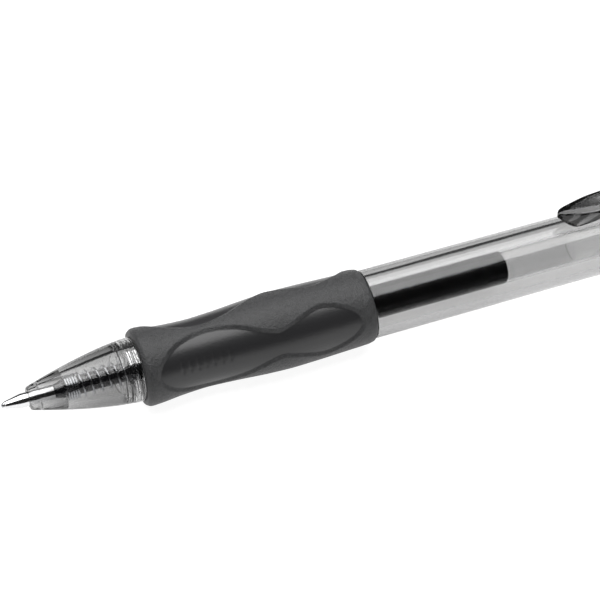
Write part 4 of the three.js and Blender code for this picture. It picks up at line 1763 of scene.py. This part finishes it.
    def build(self, maker: Maker, finishes: Finishes) -> None:
        """Makes the guide, the rotor, the plunger and the button."""
        white = finishes[Slot.CAM_PLASTIC]
        plan = [
            ("guide_sleeve", self.guide(white), self.guide_at, Body.BARREL, "cam_guide"),
            ("stepping_rotor", self.rotor(white), self.rotor_at, Body.ROTOR, "cam_rotor"),
            ("button_plunger", self.plunger(white), self.plunger_at, Body.BUTTON, "plunger"),
        ]
        for name, mesh, station, body, node in plan:
            obj = maker.piece(name, mesh, station, white, 30.0)
            maker.hand_over(obj, body, Slot.CAM_PLASTIC, node)
        black = finishes[Slot.BLACK_PLASTIC]
        cap = maker.piece("thumb_button", self.button().mesh("button"), self.button_at, black)
        maker.hand_over(cap, Body.BUTTON, Slot.BLACK_PLASTIC, "push_button")


# ------------------------------------------------------------------ pocket clip


@dataclass
class PocketClip:
    """Smoke-grey moulding: a collar on the barrel's spigot, a post, and a springy arm.

    Args:
        tip_at: Station of the arm's tip.
        hinge_at: Station of the line that the arm bends about.
        collar_at: Station of the collar's front.
        width: Width of the arm.
        thickness: Thickness of the arm behind its foot.
        tip_length: Length over which the arm narrows towards its tip.
        narrowing: Share of its width that it loses there.
        tip_rounding: Length of the rounding at the very tip.
    """

    tip_at: float = 91.9
    hinge_at: float = 123.3
    hinge_height: float = 8.85
    collar_at: float = 123.6
    collar_length: float = 7.15
    collar_radius: float = 5.8
    collar_bore: float = 5.05
    lip_radius: float = 3.25
    lip: float = 1.65
    width: float = 4.6
    thickness: float = 1.7
    foot: float = 5.65
    top: float = 9.7
    arm_end: float = 32.8
    tip_length: float = 7.5
    narrowing: float = 0.76
    tip_rounding: float = 0.7

    def top_line(self, x: np.ndarray) -> np.ndarray:
        """Height of the arm's outer face above the axis."""
        spots = [0.0, 0.35, 1.2, 3.0, 7.1, 12.4, 20.4, self.arm_end]
        drops = [1.25, 0.95, 0.88, 0.88, 0.8, 0.4, 0.05, 0.0]
        rises = [self.top - drop for drop in drops]
        return self.calmed(x, spots, rises)

    def bottom_line(self, x: np.ndarray) -> np.ndarray:
        """Height of the arm's inner face above the axis."""
        spots = [0.0, 0.5, 1.4, 2.6, 3.6, 4.9, 7.1, 12.4, 20.4, self.arm_end]
        level = self.top - self.thickness
        rises = [
            self.foot + 2.1, self.foot + 1.6, self.foot + 0.75, self.foot - 0.05, self.foot + 0.08,
            self.foot + 0.5, self.foot + 1.2, level - 0.45, level - 0.05, level,
        ]
        return self.calmed(x, spots, rises)

    def calmed(self, x: np.ndarray, spots: list[float], rises: list[float]) -> np.ndarray:
        """A smooth line through the set points."""
        fine = np.linspace(-2.0, self.arm_end + 2.0, 1500)
        plain = np.interp(fine, spots, rises)
        reach = np.arange(-60, 61) * (fine[1] - fine[0])
        bell = np.exp(-0.5 * (reach / 0.3) ** 2)
        padded = np.pad(plain, 60, mode="edge")
        calm = np.convolve(padded, bell / bell.sum(), "valid")
        return np.interp(x, fine, calm)

    def arm(self) -> Shell:
        """The arm, round at its tip, with rounded long edges."""
        half = self.width / 2
        tip = self.tip_length
        lead = tip * (1 - np.cos(np.linspace(0.0, math.pi / 2, 44)[1:]))
        x = np.concatenate([lead, np.linspace(tip + 0.3, self.arm_end, 70)])
        share = np.clip((tip - x) / tip, 0, 1)
        wide = half * (1 - self.narrowing * share**2)
        wide *= np.sqrt(1 - 0.9 * np.clip(1 - x / self.tip_rounding, 0, 1) ** 2)
        over = self.top_line(x)
        under = self.bottom_line(x)
        sides = 40
        angle = np.arange(sides) * 2 * math.pi / sides
        power = 2 / 5.0
        across = np.sign(np.cos(angle)) * np.abs(np.cos(angle)) ** power
        rise = np.sign(np.sin(angle)) * np.abs(np.sin(angle)) ** power
        middle = (over + under) / 2
        reach = (over - under) / 2
        rings = np.stack(
            [
                np.repeat(x[:, None], sides, 1),
                wide[:, None] * across[None, :],
                middle[:, None] + reach[:, None] * rise[None, :],
            ],
            2,
        )
        points = rings.reshape(-1, 3)
        caps = np.array([[0.0, 0.0, float(middle[0])], [float(x[-1]), 0.0, float(middle[-1])]])
        faces = quilted(len(x), sides, closed=False)
        last = (len(x) - 1) * sides
        for j in range(sides):
            k = (j + 1) % sides
            faces.append((len(points), j, k))
            faces.append((len(points) + 1, last + k, last + j))
        return Shell(np.vstack([points, caps]), faces).outward()

    def collar(self) -> Shell:
        """The collar's ring and the lip that holds the button in."""
        length = self.collar_length
        outline = [
            (0.0, self.collar_bore),
            (0.0, self.collar_radius - 0.3),
            (0.3, self.collar_radius),
            (length - 0.6, self.collar_radius),
            (length, self.collar_radius - 0.6),
            (length, self.lip_radius),
            (length - self.lip, self.lip_radius),
            (length - self.lip, self.collar_bore),
        ]
        return turned(eased(outline, 0.2), 144)

    def post(self) -> Shell:
        """The post that carries the arm, drawn from its side and given rounded edges."""
        half = 2.4
        front = self.thickness / 2
        foot = self.collar_bore + 0.3
        crest = [(front, foot), (front, self.top - 0.5), (front + 0.25, self.top - 0.08)]
        start = np.array([front + 0.7, self.top])
        one = np.array([0.55 * self.collar_length, self.top])
        two = np.array([0.9 * self.collar_length, self.top - 1.0])
        end = np.array([self.collar_length - 0.4, self.collar_radius - 0.2])
        for t in np.linspace(0, 1, 22):
            spot = (1 - t) ** 3 * start + 3 * t * (1 - t) ** 2 * one
            spot = spot + 3 * t * t * (1 - t) * two + t**3 * end
            crest.append((float(spot[0]), float(spot[1])))
        crest.append((self.collar_length - 0.4, foot))
        count = len(crest)
        centre = np.array(crest).mean(0)
        rows = []
        for y, inset in ((-half, 0.22), (-half + 0.22, 0.0), (half - 0.22, 0.0), (half, 0.22)):
            for x, z in crest:
                away = centre - np.array([x, z])
                away = away / max(float(np.linalg.norm(away)), 1e-9) * inset
                rows.append([x + away[0], y, z + (away[1] if z > foot + 0.01 else 0.0)])
        faces: list[tuple[int, ...]] = [tuple(range(count)), tuple(range(4 * count - 1, 3 * count - 1, -1))]
        for layer in range(3):
            for i in range(count):
                j = (i + 1) % count
                base = layer * count
                faces.append((base + j, base + i, base + i + count, base + j + count))
        return Shell(np.array(rows), faces).outward()

    def build(self, maker: Maker, finishes: Finishes) -> None:
        """Joins collar, post and arm into one moulding."""
        shift = self.tip_at - self.collar_at
        material = finishes[Slot.SMOKE_GREY]
        solids = [
            maker.piece("collar_part", self.collar().mesh("collar"), self.collar_at, material),
            maker.piece("post_part", self.post().mesh("post"), self.collar_at, material),
            maker.piece("arm_part", self.arm().moved(x=shift).mesh("arm"), self.collar_at, material),
        ]
        first = solids[0]
        for other in solids[1:]:
            join = first.modifiers.new("join", "BOOLEAN")
            join.operation = "UNION"
            join.solver = "EXACT"
            join.object = other
        view = bpy.context.view_layer.depsgraph
        view.update()
        mesh = bpy.data.meshes.new_from_object(first.evaluated_get(view), depsgraph=view)
        for solid in solids:
            bpy.data.objects.remove(solid)
        mesh.shade_smooth()
        mesh.set_sharp_from_angle(angle=math.radians(34.0))
        obj = bpy.data.objects.new("pocket_clip", mesh)
        bpy.context.scene.collection.objects.link(obj)
        obj.visible_shadow = False
        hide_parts("clip_collar", "clip_arm")
        start = maker.axis.at(self.hinge_at + 1.0, self.hinge_height)
        end = maker.axis.at(self.hinge_at - 2.4, self.hinge_height)
        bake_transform(obj)
        report(obj, Body.CLIP.value)


# ------------------------------------------------------------------ studio


@dataclass
class Studio:
    """Pale lit floor, one soft light, a dim room and the camera.

    Args:
        floor_half: Half the side of the floor, in metres.
        azimuth: Where the camera stands, in degrees from the front.
        elevation: How high it looks from, in degrees.
        place: Where it stands, in metres.
        lens: Its focal length on a 36 mm wide sensor.
    """

    floor_half: float = 2.4
    azimuth: float = -21.4
    elevation: float = 44.66
    place: tuple[float, float, float] = (-0.118226, -0.241038, 0.267077)
    lens: float = 141.84

    def floor(self, paper: bpy.types.Material) -> None:
        """Lays the floor under the pen."""
        half = self.floor_half
        mesh = bpy.data.meshes.new("floor")
        corners = [(-half, -half, 0.0), (half, -half, 0.0), (half, half, 0.0), (-half, half, 0.0)]
        mesh.from_pydata(corners, [], [(0, 1, 2, 3)])
        mesh.materials.append(paper)
        floor = bpy.data.objects.new("studio_floor", mesh)
        bpy.context.scene.collection.objects.link(floor)

    def softbox(
        self,
        name: str,
        place: tuple[float, float, float],
        aim: tuple[float, float, float],
        size: tuple[float, float],
        radiance: float,
    ) -> None:
        """Hangs a soft light.

        Args:
            name: Name of the light.
            place: Where it hangs, in metres.
            aim: What it points at.
            size: Its width and height, in metres.
            radiance: How bright its face is.
        """
        light = bpy.data.lights.new(name, "AREA")
        light.shape = "RECTANGLE"
        light.size, light.size_y = size
        light.energy = radiance * math.pi * size[0] * size[1]
        lamp = bpy.data.objects.new(name, light)
        lamp.location = place
        lamp.rotation_euler = (Vector(place) - Vector(aim)).to_track_quat("Z", "Y").to_euler()
        bpy.context.scene.collection.objects.link(lamp)

    def air(self) -> None:
        """A dim room that is darker in front of the pen than behind it."""
        world = bpy.data.worlds.new("studio_room")
        world.use_nodes = True
        tree = ShaderTree(world.node_tree)
        back = world.node_tree.nodes["Background"]
        way = tree.node("ShaderNodeTexCoord").outputs["Generated"]
        facing = tree.node("ShaderNodeVectorMath", operation="DOT_PRODUCT")
        tree.feed(facing.inputs[0], way)
        facing.inputs[1].default_value = (0.24, 0.9, 0.36)
        share = tree.spread(facing.outputs["Value"], -0.25, 0.6, 0.0, 1.0)
        tree.feed(back.inputs["Color"], tree.mixed(share, (0.02, 0.02, 0.02, 1.0), (0.1, 0.1, 0.1, 1.0)))
        bpy.context.scene.world = world

    def camera(self) -> None:
        """Stands the camera."""
        turn = math.radians(self.azimuth)
        lift = math.radians(self.elevation)
        back = Vector(
            (math.sin(turn) * math.cos(lift), -math.cos(turn) * math.cos(lift), math.sin(lift))
        )
        right = Vector((math.cos(turn), math.sin(turn), 0.0))
        up = back.cross(right)
        data = bpy.data.cameras.new("camera")
        data.lens = self.lens
        data.sensor_width = 36.0
        data.clip_start = 0.01
        data.clip_end = 20.0
        camera = bpy.data.objects.new("camera", data)
        frame = Matrix((right, up, back)).transposed().to_4x4()
        camera.matrix_world = Matrix.Translation(self.place) @ frame
        bpy.context.scene.collection.objects.link(camera)
        bpy.context.scene.camera = camera

    def build(self, finishes: Finishes) -> None:
        """Sets up floor, lights, room and camera."""
        self.floor(finishes.paper)
        self.softbox("overhead", (0.03, 0.1, 0.5), (0.03, 0.1, 0.0), (0.8, 0.62), 4.0)
        self.air()
        self.camera()
        view = bpy.context.scene.view_settings
        view.view_transform = "Standard"
        view.look = "None"
        log.info("studio ready")


def main() -> None:
    """Builds the pen, piece by piece, and the studio round it."""
    logging.basicConfig(level=logging.INFO, format="%(message)s")
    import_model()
    maker = Maker(PenAxis.read())
    finishes = Finishes()
    Refill().build(maker, finishes)
    SpringCoil().build(maker, finishes)
    NoseCone().build(maker, finishes)
    Barrel().build(maker, finishes)
    GripSleeve().build(maker, finishes)
    ClickWorks().build(maker, finishes)
    PocketClip().build(maker, finishes)
    Studio().build(finishes)


if __name__ == "__main__":
    main()
